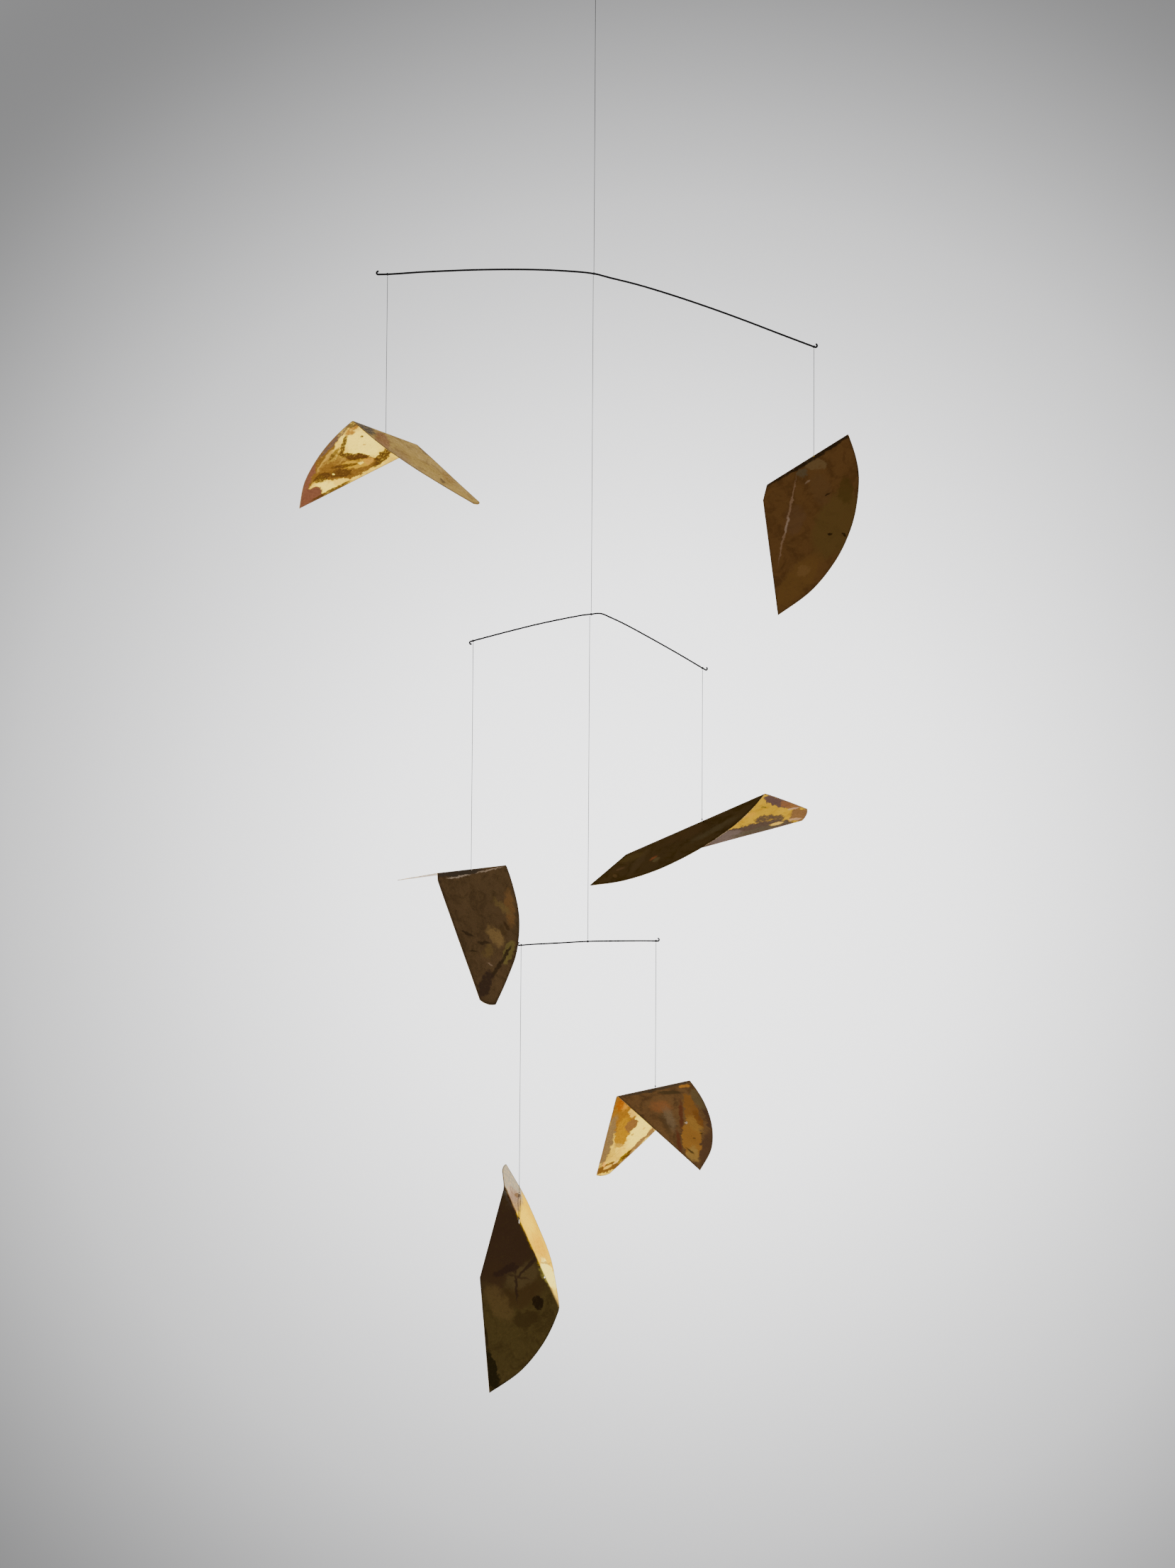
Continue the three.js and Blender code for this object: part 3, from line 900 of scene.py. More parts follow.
LEAF_2_OUTER = Patina(CHESTNUT, (
    Patch((-18, 74), (36, 20), 142, (0.4, 0.235, 0.065), 0.75, 0.4),
    Patch((-80, 104), (32, 12), 160, (0.52, 0.26, 0.07), 0.75, 0.5),
    Patch((-50, 48), (15, 10), 130, (0.44, 0.22, 0.095), 0.6),
    Patch((-12, 34), (17, 10), 110, (0.43, 0.22, 0.08), 0.5),
    Patch((8, 50), (14, 7), 120, (0.27, 0.155, 0.035), 0.7),
    Patch((-3, 9), (11, 6), 35, TAN, 0.75, 0.3),
    Patch((-18, 9), (5, 5), 0, (0.36, 0.28, 0.15), 0.7),
    Patch((-19, 21), (3.5, 1.2), -15, (0.75, 0.48, 0.28), 0.85),
    Patch((-70, 98), (7, 5), 0, (0.66, 0.34, 0.11), 0.6),
    Patch((-55, 43), (44, 1.0), 132, (0.85, 0.5, 0.28), 0.75),
    Patch((-59, 48), (9, 1.3), 132, (1.0, 0.68, 0.45), 0.85),
    Patch((-28, 80), (2.5, 1), 30, DEEP, 0.9),
    Patch((-17, 88), (2.5, 1), 60, DEEP, 0.9),
    Patch((-9, 43), (3, 1), 0, DEEP, 0.8),
    Patch((30, 40), (16, 2.5), 115, SOOT_AND_SHADE, 0.85),
    # painted shade: a dark band along the whole fold ridge
    Patch((-5, 1), (56, 3.2), 0, SOOT_AND_SHADE, 0.9),
    Patch((20, -50), (40, 15), -70, (0.4, 0.235, 0.065), 0.7),
), (0.17, 0.085, 0.025), 1.5, seed=3.0)
LEAF_2_INNER = Patina(BRIGHT, (
    Patch((-74, 30), (34, 9), 128, BRASS, 0.9, 0.5),
    Patch((-52, 58), (22, 13), 62, (0.5, 0.26, 0.05), 0.9, 0.3),
    Patch((-88, 12), (16, 8), 160, (0.3, 0.14, 0.04), 1.1, 0.4),
    Patch((-36, 30), (30, 4), 108, (0.34, 0.18, 0.05), 1.0, 0.5),
    Patch((-98, 42), (20, 5), 80, BRASS, 0.8, 0.7),
    Patch((-64, 84), (18, 6), 30, BROWN, 1.0, 0.3),
    Patch((-20, 66), (24, 7), 84, (0.42, 0.22, 0.05), 0.9, 0.5),
    Patch((-40, -40), (34, 8), -130, BRASS, 0.9, 0.5),
    Patch((-62, -22), (18, 10), -168, (0.4, 0.2, 0.045), 1.0, 0.3),
    Patch((-24, -74), (22, 6), -96, BROWN, 1.0, 0.4),
    Patch((-74, -52), (20, 5), -114, GOLD, 0.8, 0.6),
    Patch((-46, 12), (2, 1.6), 0, BROWN, 0.95),
    Patch((-82, 58), (1.8, 1.4), 0, BROWN, 0.95),
), (0.12, 0.06, 0.03), 2.0, seed=4.0)
LEAF_3_OUTER = Patina(SMOKE, (
    # painted shade: a dark band along the fold, mostly left of the hole
    Patch((-18, -2), (30, 3.5), 0, (0.085, 0.065, 0.045), 0.9),
    Patch((-20, -6), (15, 1.0), 2, (0.6, 0.46, 0.32), 0.85),
    Patch((22, -3), (18, 0.9), 4, (0.6, 0.44, 0.3), 0.85),
    Patch((31, -44), (19, 6), -110, (0.3, 0.15, 0.05), 0.85, 0.6),
    Patch((22, -42), (12, 4), -50, (0.28, 0.18, 0.06), 0.7, 0.8),
    Patch((1, -70), (11, 8), -60, (0.37, 0.225, 0.08), 0.85, 0.7),
    Patch((12, -66), (7, 4), -70, (0.13, 0.075, 0.03), 0.85),
    Patch((19, -62), (6, 2.2), -75, (0.1, 0.055, 0.022), 0.9),
    Patch((-33, -64), (7, 1.6), -32, SOOT_AND_SHADE, 0.9),
    Patch((-17, -75), (8, 1.6), -10, SOOT_AND_SHADE, 0.9),
    Patch((-34, -81), (5, 1.1), -12, SOOT_AND_SHADE, 0.85),
    Patch((-15, -84), (9, 4), 30, (0.24, 0.15, 0.05), 0.7, 0.9),
    Patch((10, -88), (15, 4.5), 40, (0.3, 0.23, 0.065), 0.8),
    Patch((4, -91), (15, 1.6), 36, SOOT_AND_SHADE, 0.95),
    Patch((-13, -103), (13, 2.2), 33, SOOT_AND_SHADE, 0.95),
    Patch((-33, -116), (17, 6), 42, (0.07, 0.04, 0.025), 0.9),
    Patch((-19, -97), (3.5, 0.8), -35, (0.42, 0.28, 0.18), 0.7),
    Patch((-2, 50), (36, 14), 100, RUSSET, 0.6),
), SOOT_AND_SHADE, 2.6, seed=5.0)
LEAF_3_INNER = Patina(((0.24, 0.16, 0.09), (0.36, 0.25, 0.13), (0.5, 0.36, 0.2)), (
    Patch((20, 45), (40, 14), 110, BROWN, 0.8),
    Patch((-10, -55), (45, 18), -80, BRASS, 0.8),
    Patch((10, -60), (20, 9), -80, DEEP, 0.85),
), (0.12, 0.06, 0.03), 2.0, seed=6.0)
LEAF_4_OUTER = Patina(NIGHT, (
    Patch((-80, 11), (16, 6), 10, (0.11, 0.073, 0.03), 0.8, 0.8),
    Patch((-72, 26), (20, 5), 125, (0.1, 0.065, 0.034), 0.7, 0.8),
    Patch((10, 27), (27, 5), -10, (0.105, 0.078, 0.042), 0.7, 0.9),
    Patch((-15, 12), (24, 8), 0, (0.1, 0.058, 0.028), 0.6, 0.9),
    Patch((-56, 31), (4, 2.5), -20, (0.27, 0.09, 0.04), 0.85, 0.9),
    Patch((-53, 36), (3.5, 4), 0, (0.15, 0.11, 0.05), 0.8, 0.9),
    Patch((-92, 24), (5, 2), 10, (0.15, 0.085, 0.045), 0.6),
    Patch((-98, 33), (4, 2), 60, (0.15, 0.09, 0.04), 0.7),
    Patch((50, -35), (30, 12), -30, (0.14, 0.09, 0.045), 0.7),
), (0.04, 0.026, 0.012), 3.0, seed=7.0)
LEAF_4_INNER = Patina(((0.38, 0.2, 0.012), (0.5, 0.28, 0.015), (0.68, 0.42, 0.025)), (
    Patch((24, -46), (56, 13), -17, PLUM, 1.6, 0.15),
    Patch((8, -39), (22, 8), -15, (0.12, 0.085, 0.068), 1.2, 0.3),
    Patch((45, -52), (30, 4), -14, (0.085, 0.065, 0.04), 0.8),
    Patch((56, -38), (11, 6), -20, PLUM, 0.95, 0.3),
    Patch((68, -46), (7, 5), -40, PLUM, 0.95, 0.3),
    Patch((63, -54), (7, 2.5), -20, GOLD, 0.9),
    Patch((76, -20), (18, 6), -62, (0.1, 0.058, 0.045), 1.5, 0.2),
    Patch((85, -35), (13, 5), -62, (0.2, 0.085, 0.035), 0.95, 0.3),
    Patch((88, -56), (11, 9), -60, (0.19, 0.095, 0.036), 1.4, 0.25),
    Patch((86, -42), (6, 1.5), -20, (0.5, 0.3, 0.17), 0.8),
    Patch((82, -60), (6, 2), -30, (0.46, 0.26, 0.13), 0.8),
    Patch((61, -20), (3, 1), -40, (0.12, 0.09, 0.02), 0.95),
    Patch((40, -20), (12, 4), -25, (0.62, 0.3, 0.02), 0.7),
    Patch((-40, 30), (45, 14), 10, BROWN, 0.85, 0.3),
), (0.15, 0.08, 0.045), 1.6, seed=8.0)
LEAF_5_OUTER = Patina(UMBER, (
    Patch((29, 58), (42, 7), 115, (0.17, 0.09, 0.05), 1.3, 0.4),
    Patch((-4, 92), (32, 7), 140, (0.2, 0.105, 0.055), 0.95, 0.4),
    Patch((34, 28), (16, 6), 105, (0.25, 0.18, 0.08), 0.8),
    Patch((-14, 27), (12, 8), 0, (0.52, 0.21, 0.075), 0.75, 0.9),
    Patch((-17, 45), (17, 6), 115, (0.38, 0.26, 0.14), 0.7, 0.9),
    Patch((-27, 52), (14, 4), 110, (0.17, 0.1, 0.045), 0.7, 0.9),
    Patch((15, 40), (25, 7), 118, (0.45, 0.2, 0.05), 1.3, 0.25),
    Patch((-13, 77), (31, 10), 128, (0.6, 0.28, 0.06), 1.5, 0.12),
    Patch((-27, 95), (12, 6), 130, (0.66, 0.4, 0.11), 0.8, 0.4),
    Patch((5, 60), (12, 7), 110, (0.62, 0.33, 0.075), 0.7),
    Patch((14, 54), (13, 4), 110, (0.36, 0.14, 0.035), 0.8),
    Patch((-1, 44), (23, 2), 127, (0.24, 0.085, 0.04), 1.1, 0.9),
    Patch((-30, 77), (18, 2.2), 122, (0.24, 0.085, 0.04), 1.1, 0.9),
    Patch((-3, 55), (2, 1), -30, (1.0, 0.82, 0.6), 0.95),
    Patch((2, 73), (1.7, 1.3), 0, SOOT_AND_SHADE, 0.85, 0.9),
    Patch((-10, 77), (1.6, 1.0), 0, SOOT_AND_SHADE, 0.8, 0.9),
    Patch((-27, 91), (5, 1.3), 80, SOOT_AND_SHADE, 0.8, 0.9),
    # painted shade: a dark band along the whole fold ridge
    Patch((0, 1.5), (52, 3.2), 0, (0.13, 0.095, 0.06), 0.85),
    Patch((10, 11), (13, 3), 12, (0.14, 0.09, 0.04), 0.9),
    Patch((33, 7), (7, 2.5), 5, (0.85, 0.36, 0.06), 0.98, 0.3),
    Patch((5, -60), (40, 13), -80, (0.6, 0.3, 0.07), 0.8),
), (0.13, 0.075, 0.035), 1.8, seed=9.0)
LEAF_5_INNER = Patina(BRIGHT, (
    Patch((10, -66), (30, 15), -60, STRAW, 0.9, 0.5),
    Patch((-28, -30), (38, 15), -60, (0.23, 0.1, 0.018), 1.6, 0.15),
    Patch((-14, -60), (24, 9), -72, (0.32, 0.15, 0.015), 1.5, 0.25),
    Patch((-33, -18), (9, 4), -50, (0.5, 0.2, 0.015), 0.85),
    Patch((-38, -14), (12, 5), -70, (0.26, 0.07, 0.01), 0.9),
    Patch((-13, -33), (10, 4), -45, GOLD, 0.85),
    Patch((-6, -52), (10, 7), -55, (0.19, 0.09, 0.03), 1.5, 0.25),
    Patch((-28, -70), (38, 6), -76, (0.18, 0.11, 0.045), 1.4, 0.5),
    Patch((-14, -92), (12, 5), -85, (0.5, 0.3, 0.03), 0.7),
    Patch((-9, -80), (8, 2), -20, BRASS, 0.8),
    Patch((2, -68), (1.8, 1.5), 0, BRASS, 0.95),
    Patch((15, -62), (1.8, 1.4), 0, GOLD, 0.9),
    Patch((0, -95), (2, 1.4), 0, GOLD, 0.9),
    Patch((20, -86), (28, 4), -117, (0.24, 0.13, 0.045), 1.3, 0.4),
    Patch((-8, -114), (16, 7), 5, (0.15, 0.07, 0.022), 1.4, 0.4),
    Patch((9, -101), (9, 4), -118, DEEP, 0.9),
    Patch((-9, -113), (5, 3), 20, GOLD, 0.9),
    Patch((-16, -107), (5, 2), -60, ORANGE, 0.8),
    Patch((0, -108), (4, 2), 30, (0.8, 0.5, 0.1), 0.8),
    Patch((5, 55), (40, 15), 110, BROWN, 0.85),
), (0.15, 0.075, 0.03), 1.5, seed=10.0)
LEAF_6_OUTER = Patina(MOSS, (
    Patch((8, 28), (50, 42), 90, (0.19, 0.095, 0.052), 0.92, 0.7),
    Patch((40, 44), (18, 8), 20, (0.22, 0.115, 0.05), 0.8, 0.8),
    Patch((64, 26), (22, 13), 90, (0.24, 0.13, 0.045), 0.85, 0.7),
    Patch((50, 20), (18, 10), 85, (0.36, 0.235, 0.09), 0.9, 0.6),
    Patch((44, 12), (14, 1.6), 70, (0.15, 0.08, 0.045), 0.9, 0.6),
    Patch((56, 30), (13, 1.4), 20, (0.15, 0.08, 0.045), 0.9, 0.6),
    Patch((48, 24), (11, 1.2), 130, (0.2, 0.11, 0.05), 0.8, 0.6),
    Patch((37, 32), (14, 4), 100, (0.14, 0.07, 0.045), 0.85),
    Patch((88, 34), (13, 7), 100, (0.2, 0.12, 0.038), 0.85, 0.3),
    Patch((80, 17), (7, 4.5), 15, (0.085, 0.048, 0.022), 0.98, 0.3),
    Patch((62, 52), (20, 9), -12, (0.44, 0.27, 0.09), 0.8, 0.6),
    Patch((85, 77), (9, 2.5), 20, (0.13, 0.08, 0.026), 0.9),
    Patch((116, 86), (20, 7), 10, (0.08, 0.056, 0.02), 0.98, 0.25),
    Patch((20, -80), (260, 80), 0, (0.78, 0.46, 0.015), 1.0, 0.03),
    Patch((10, -14), (20, 12), 0, (0.9, 0.58, 0.02), 0.8, 0.8),
    Patch((34, -16), (14, 12), -20, (0.7, 0.36, 0.012), 0.85, 0.8),
    Patch((62, -10), (17, 12), -15, (1.0, 0.82, 0.16), 0.95, 0.25),
    Patch((51, -14), (12, 1.2), -65, BRASS, 0.8),
    Patch((78, -6), (5, 3), 0, (0.75, 0.55, 0.06), 0.7),
    Patch((-40, -18), (26, 24), 0, (0.33, 0.28, 0.2), 1.0, 0.3),
    Patch((-19, -10), (13, 11), -60, (0.26, 0.16, 0.1), 0.9, 0.5),
    Patch((-31, -8), (4, 1.8), 30, (0.42, 0.28, 0.18), 0.85),
    Patch((-20, -20), (7, 2), -70, (0.14, 0.08, 0.04), 0.85),
    Patch((-30, -1), (14, 1.6), 0, DEEP, 0.85),
), (0.05, 0.034, 0.014), 1.3, seed=11.0)
LEAF_6_INNER = Patina(BRIGHT, (
    Patch((58, 26), (40, 8), 24, BRASS, 0.9, 0.5),
    Patch((84, 52), (24, 12), 66, (0.48, 0.24, 0.05), 0.9, 0.3),
    Patch((40, 52), (26, 5), 58, (0.32, 0.16, 0.045), 1.0, 0.5),
    Patch((66, 72), (16, 7), 128, BROWN, 1.0, 0.3),
    Patch((94, 24), (15, 7), -14, (0.36, 0.18, 0.04), 1.0, 0.4),
    Patch((22, 24), (16, 9), 80, GOLD, 0.8, 0.6),
    Patch((-20, -14), (26, 9), 0, RUSSET, 0.9),
    Patch((52, -30), (34, 7), -38, BRASS, 0.9, 0.5),
    Patch((80, -18), (14, 8), 8, (0.4, 0.2, 0.045), 1.0, 0.3),
    Patch((28, -56), (20, 6), -74, BROWN, 0.9, 0.4),
    Patch((110, 78), (20, 9), 20, DEEP, 0.9),
    Patch((48, 40), (1.8, 1.4), 0, BROWN, 0.95),
), (0.12, 0.06, 0.03), 2.0, seed=12.0)


@dataclass(frozen=True)
class Leaf:
    """A folded brass leaf on its thread.

    Attributes:
        number: its number from the top.
        place: its hole, mm.
        length: length along the sharp edge, mm.
        fold_start: where the fold starts, a share of the length along the blunt edge, or
            along the sharp edge where it is negative.
        fold_end: angle at which the fold meets the round side, degrees.
        bend: how far the sheet is folded, degrees.
        side: 1 or -1, which way the leaf is turned.
        hole: place of the hole along the fold, as a share of it.
        heading: compass heading of the fold, degrees.
        gauge: thickness of the sheet, mm.
        outer: look of the upper side.
        inner: look of the under side.
        cut: the plate's outline.
        soft_bend: radius of the bend, mm.
        spare_hole: place of a second, empty hole along the fold, 0 for none.
    """

    number: int
    place: tuple[float, float, float]
    length: float
    fold_start: float
    fold_end: float
    bend: float
    side: int
    hole: float
    heading: float
    gauge: float
    outer: Patina
    inner: Patina
    cut: Cut = PLAIN_CUT
    soft_bend: float = 1.5
    spare_hole: float = 0.0

    # Points of the outline and of the grid.
    FINE = 2000
    ROUND_POINTS = 181
    BLUNT_POINTS = 24
    WING_ROWS = 64
    BEND_ROWS = 9
    COLUMNS = 96
    EVENNESS = 0.6
    # Lengths, mm.
    TIP_MARGIN = 0.05
    WAVE_HEIGHT = 0.14
    WAVE_FREE = 25
    CROSSED_WAVE = (21, 17)
    SLANTED_WAVE = (11, 13)
    EASED_EDGE = 0.12
    BORE_REACH = 6
    # The rim's middle band, as a share of the thickness, and the waves' shift per leaf.
    RIM_BAND = 0.6
    WAVE_SHIFT = 1.7
    BORE_SIDES = 24
    SHARP = math.radians(32)

    @property
    def name(self) -> str:
        """The leaf's name, which its body shares."""
        return f"leaf_{self.number}"

    @property
    def half_bend(self) -> float:
        """Half of the angle by which the sheet is folded, radians."""
        return math.radians(self.bend) / 2

    @property
    def flat_from(self) -> float:
        """Distance from the fold at which a wing is flat, mm."""
        return self.soft_bend * math.tan(self.half_bend)

    def outline(self) -> Array:
        """The plate's outline, corner first and then round from the sharp tip to the blunt one.

        A point's radius follows the cut's spline, and the blunt end is a parabola that
        stands out by twice its bulge times its width at its control point.

        Returns:
            Points of the outline, mm.
        """
        share, radius = np.array(self.cut.arc, float).T
        angle = share * LEAF_ANGLE
        knots = self.length * radius[:, None] * np.stack([np.cos(angle), np.sin(angle)], 1)
        round_side = even_points(plain_spline(knots, self.FINE), self.ROUND_POINTS)
        start = round_side[-1]
        blunt_edge = np.array([math.cos(LEAF_ANGLE), math.sin(LEAF_ANGLE)])
        end = self.length * self.cut.blunt_end * blunt_edge
        outward = 2 * self.cut.blunt_bulge * np.array([end[1] - start[1], start[0] - end[0]])
        control = (start + end) / 2 + outward
        t = np.linspace(0, 1, self.BLUNT_POINTS + 1)[1:, None]
        blunt = (1 - t) ** 2 * start + 2 * t * (1 - t) * control + t**2 * end
        return np.vstack([[0, 0], round_side, blunt])

    def fold_line(self, outline: Array) -> tuple[Array, Array]:
        """Both ends of the fold: on a straight edge, and where its ray meets the round side.

        Args:
            outline: the plate's outline.

        Returns:
            The start and the end.
        """
        along = LEAF_ANGLE if self.fold_start >= 0 else 0.0
        start = abs(self.fold_start) * self.length * np.array([math.cos(along), math.sin(along)])
        angle = math.radians(self.fold_end)
        rounded = outline[1:self.ROUND_POINTS]
        bearing = np.arctan2(rounded[:, 1], rounded[:, 0])
        reach = np.interp(angle, bearing, np.linalg.norm(rounded, axis=1))
        return start, reach * np.array([math.cos(angle), math.sin(angle)])

    def plate(self) -> tuple[Array, float]:
        """The outline in fold coordinates: along and across the fold, from its start.

        Returns:
            The outline, mm, and the fold's length, mm.
        """
        outline = self.outline()
        start, end = self.fold_line(outline)
        length = float(np.linalg.norm(end - start))
        along = (end - start) / length
        across = np.array([along[1], -along[0]])
        return np.stack([(outline - start) @ along, (outline - start) @ across], 1), length

    def row_distances(self, plate: Array) -> Array:
        """Distances of the rows from the fold: closer together at the bend and at the tips.

        A wing's rows go out by the sine of an evenly growing angle, and the row nearest
        the plate's corner is moved on to it.

        Args:
            plate: the outline in fold coordinates.

        Returns:
            The distances, mm, from one tip to the other.
        """
        flat_from = self.flat_from
        low, high = plate[:, 1].min() + self.TIP_MARGIN, plate[:, 1].max() - self.TIP_MARGIN
        easing = np.sin(np.linspace(0, math.pi / 2, self.WING_ROWS))
        wing_up = flat_from + (high - flat_from) * easing
        wing_down = -flat_from + (low + flat_from) * easing
        corner = plate[0, 1]
        wing = wing_up if corner > 0 else wing_down
        nearest = int(np.argmin(abs(wing - corner)))
        if 0 < nearest < self.WING_ROWS - 1:
            wing[nearest] = corner
        bend = np.linspace(-flat_from, flat_from, self.BEND_ROWS + 2)[1:-1]
        return np.concatenate([wing_down[::-1], bend, wing_up])

    def crossings(self, plate: Array, distances: Array) -> tuple[Array, Array]:
        """Where the line at each distance from the fold enters and leaves the outline.

        Args:
            plate: the outline in fold coordinates.
            distances: distances from the fold, mm.

        Returns:
            Places along the fold of each line's first and last crossing.
        """
        a, b = plate, np.roll(plate, -1, axis=0)
        over = (a[None, :, 1] - distances[:, None]) * (b[None, :, 1] - distances[:, None]) <= 0
        rise = b[:, 1] - a[:, 1]
        share = (distances[:, None] - a[None, :, 1]) / np.where(rise == 0, 1, rise)[None, :]
        hit = a[None, :, 0] + share * (b - a)[None, :, 0]
        over &= rise[None, :] != 0
        return np.where(over, hit, np.inf).min(1), np.where(over, hit, -np.inf).max(1)

    def grid(self, plate: Array) -> tuple[Array, Array]:
        """The plate's grid of points, whose rows run from one side of the outline to the other.

        A point's share of the way is partly even and partly eased by a cosine, so that
        the points are closer together at the sides.

        Args:
            plate: the outline in fold coordinates.

        Returns:
            Places along the fold and distances from it, mm.
        """
        distances = self.row_distances(plate)
        left, right = self.crossings(plate, distances)
        even = np.linspace(0, 1, self.COLUMNS)
        eased = (1 - np.cos(np.linspace(0, math.pi, self.COLUMNS))) / 2
        share = self.EVENNESS * even + (1 - self.EVENNESS) * eased
        along = left[:, None] + (right - left)[:, None] * share[None, :]
        return along, np.repeat(distances[:, None], self.COLUMNS, 1)

    def section(self, distance: Array) -> tuple[Array, Array, Array]:
        """The folded cross-section.

        Past the bend a wing is straight at half the bend angle; within it the tilt grows
        in proportion to the distance, on a circle of the bend's radius.

        Args:
            distance: distance from the fold on the flat plate, mm.

        Returns:
            Place across, height and tilt.
        """
        half = self.half_bend
        tilt = np.clip(distance / self.flat_from, -1, 1) * half
        in_bend = abs(distance) < self.flat_from
        across = np.where(in_bend, self.soft_bend * np.sin(tilt), distance * math.cos(half))
        arch = self.soft_bend * (np.cos(tilt) - 1 / math.cos(half))
        height = np.where(in_bend, arch, -abs(distance) * math.sin(half))
        return across, height, tilt

    def waviness(self, along: Array, distance: Array) -> Array:
        """A hand-cut sheet's slight unevenness: two crossed slow waves that vanish at the fold.

        The first is the sine along the fold times the sine across it; the second, half as
        high, is the sine of their difference.

        Args:
            along: place along the fold, mm.
            distance: distance from the fold, mm.

        Returns:
            How far the sheet stands off its wing's plane, mm.
        """
        phase = self.WAVE_SHIFT * self.number
        (a, b), (c, d) = self.CROSSED_WAVE, self.SLANTED_WAVE
        crossed = np.sin(along / a + phase) * np.sin(distance / b + 2 * phase)
        slanted = 0.5 * np.sin(along / c - distance / d + phase)
        free = np.clip(abs(distance) / self.WAVE_FREE, 0, 1)
        return self.WAVE_HEIGHT * (crossed + slanted) * free

    def skin(self, along: Array, distance: Array, offset: float) -> Array:
        """Points of the folded sheet, moved off its middle along its normal.

        Args:
            along: place along the fold, mm.
            distance: distance from the fold, mm.
            offset: how far off the middle, mm.

        Returns:
            The points in the leaf's own axes, mm.
        """
        across, height, tilt = self.section(distance)
        lift = offset + self.waviness(along, distance)
        sideways = self.side * (across + np.sin(tilt) * lift)
        return np.stack([along, sideways, height + np.cos(tilt) * lift], -1)

    def attitude(self, middle: Array, quads: Array) -> Array:
        """The turn that hangs the leaf: its centre plumb below its hole, its fold to its heading.

        The centre is the mean of the quads' middles, weighted by their areas.

        Args:
            middle: points of the sheet's middle, from the hole.
            quads: its faces.

        Returns:
            The turn as a matrix.
        """
        corner = middle[quads]
        cross = np.cross(corner[:, 2] - corner[:, 0], corner[:, 3] - corner[:, 1])
        area = np.linalg.norm(cross, axis=1)
        centre = (corner.mean(1) * area[:, None]).sum(0) / area.sum()
        up = -centre / np.linalg.norm(centre)
        front = AHEAD - up[0] * up
        front /= np.linalg.norm(front)
        to_plumb = np.stack([front, np.cross(up, front), up])
        return turned(to_plumb.T, math.radians(self.heading)).T

    def border_ring(self, rows: int) -> Array:
        """Numbers of the grid's border points, once round.

        Args:
            rows: how many rows the grid has.

        Returns:
            The numbers.
        """
        last = self.COLUMNS - 1
        return np.concatenate([
            np.arange(self.COLUMNS),
            np.arange(1, rows) * self.COLUMNS + last,
            (rows - 1) * self.COLUMNS + np.arange(last - 1, -1, -1),
            np.arange(rows - 2, 0, -1) * self.COLUMNS,
        ])

    def shell(self, flat: Array, ring: Array, quads: Array) -> tuple[Array, Array, Array]:
        """Two skins, and between them a rim whose edges are eased.

        Args:
            flat: the plate's grid points.
            ring: numbers of the border points.
            quads: the grid's faces.

        Returns:
            Points in the leaf's own axes, faces, and each point's place on the plate.
        """
        inward = flat.mean(0) - flat[ring]
        eased = flat.copy()
        eased[ring] += self.EASED_EDGE * inward / np.linalg.norm(inward, axis=1)[:, None]
        border = flat[ring]
        half = self.gauge / 2
        band = self.RIM_BAND * half
        layers = ((eased, half), (eased, -half), (border, band), (border, -band))
        points = np.vstack([self.skin(at[:, 0], at[:, 1], offset) for at, offset in layers])
        count, around = len(flat), len(ring)
        high = 2 * count + np.arange(around)
        loops = np.stack([ring, high, high + around, ring + count])
        rim = loops.ravel()[grid_faces(4, around, True)]
        faces = np.vstack([quads[:, ::-1], quads + count, rim])
        if self.side < 0:
            faces = faces[:, ::-1]
        return points, faces, np.vstack([at for at, _ in layers])

    def build(self, rim_metal: Material) -> Solid:
        """The closed sheet with its holes, dressed.

        Args:
            rim_metal: the finish of its cut edge.

        Returns:
            The leaf.
        """
        plate, fold_length = self.plate()
        along, across = self.grid(plate)
        ridge = self.soft_bend * (1 - 1 / math.cos(self.half_bend))
        hole = np.array([self.hole * fold_length, 0, ridge])
        quads = grid_faces(len(along), self.COLUMNS, False)
        turn = self.attitude(self.skin(along, across, 0.0).reshape(-1, 3) - hole, quads)
        flat = np.stack([along.ravel(), across.ravel()], 1)
        points, faces, at = self.shell(flat, self.border_ring(len(along)), quads)
        placed = (points - hole) @ turn.T + np.array(self.place)
        piece = add_mesh(self.name + "_sheet", placed, faces)
        skins = (self.outer.make(self.name + "_outer"), self.inner.make(self.name + "_inner"))
        for metal in (*skins, rim_metal):
            piece.data.materials.append(metal)
        self.label(piece, faces, at, plate, hole[0], len(quads))
        self.drill(piece, turn, fold_length)
        return dress(piece, self.name, self.name, self.name + "_brass")

    def label(self, piece: Solid, faces: Array, flat: Array, plate: Array, origin: float,
              skin_quads: int) -> None:
        """Gives each face its layer, and each point its place on the plate.

        A point also gets its distance to the outline: the least distance to its sides.

        Args:
            piece: the leaf.
            faces: its faces.
            flat: each point's place on the plate, mm.
            plate: the outline in fold coordinates.
            origin: the hole's place along the fold, mm.
            skin_quads: how many faces one skin has.
        """
        mesh = piece.data
        layer = np.full(len(faces), Layer.RIM.value, np.int32)
        layer[:skin_quads] = Layer.OUTER.value
        layer[skin_quads:2 * skin_quads] = Layer.INNER.value
        mesh.polygons.foreach_set("material_index", layer)
        at = ((flat - [origin, 0]) / PLATE_UNIT)[faces.ravel()].astype(np.float32)
        mesh.uv_layers.new(name="plate").data.foreach_set("uv", at.ravel())
        span = np.roll(plate, -1, axis=0) - plate
        squared = np.maximum((span * span).sum(-1), 1e-12)
        share = ((flat[:, None] - plate) * span).sum(-1) / squared
        near = plate + np.clip(share, 0, 1)[..., None] * span
        from_edge = np.linalg.norm(flat[:, None] - near, axis=-1).min(1)
        store = mesh.attributes.new("from_edge", "FLOAT", "POINT")
        store.data.foreach_set("value", from_edge.astype(np.float32))

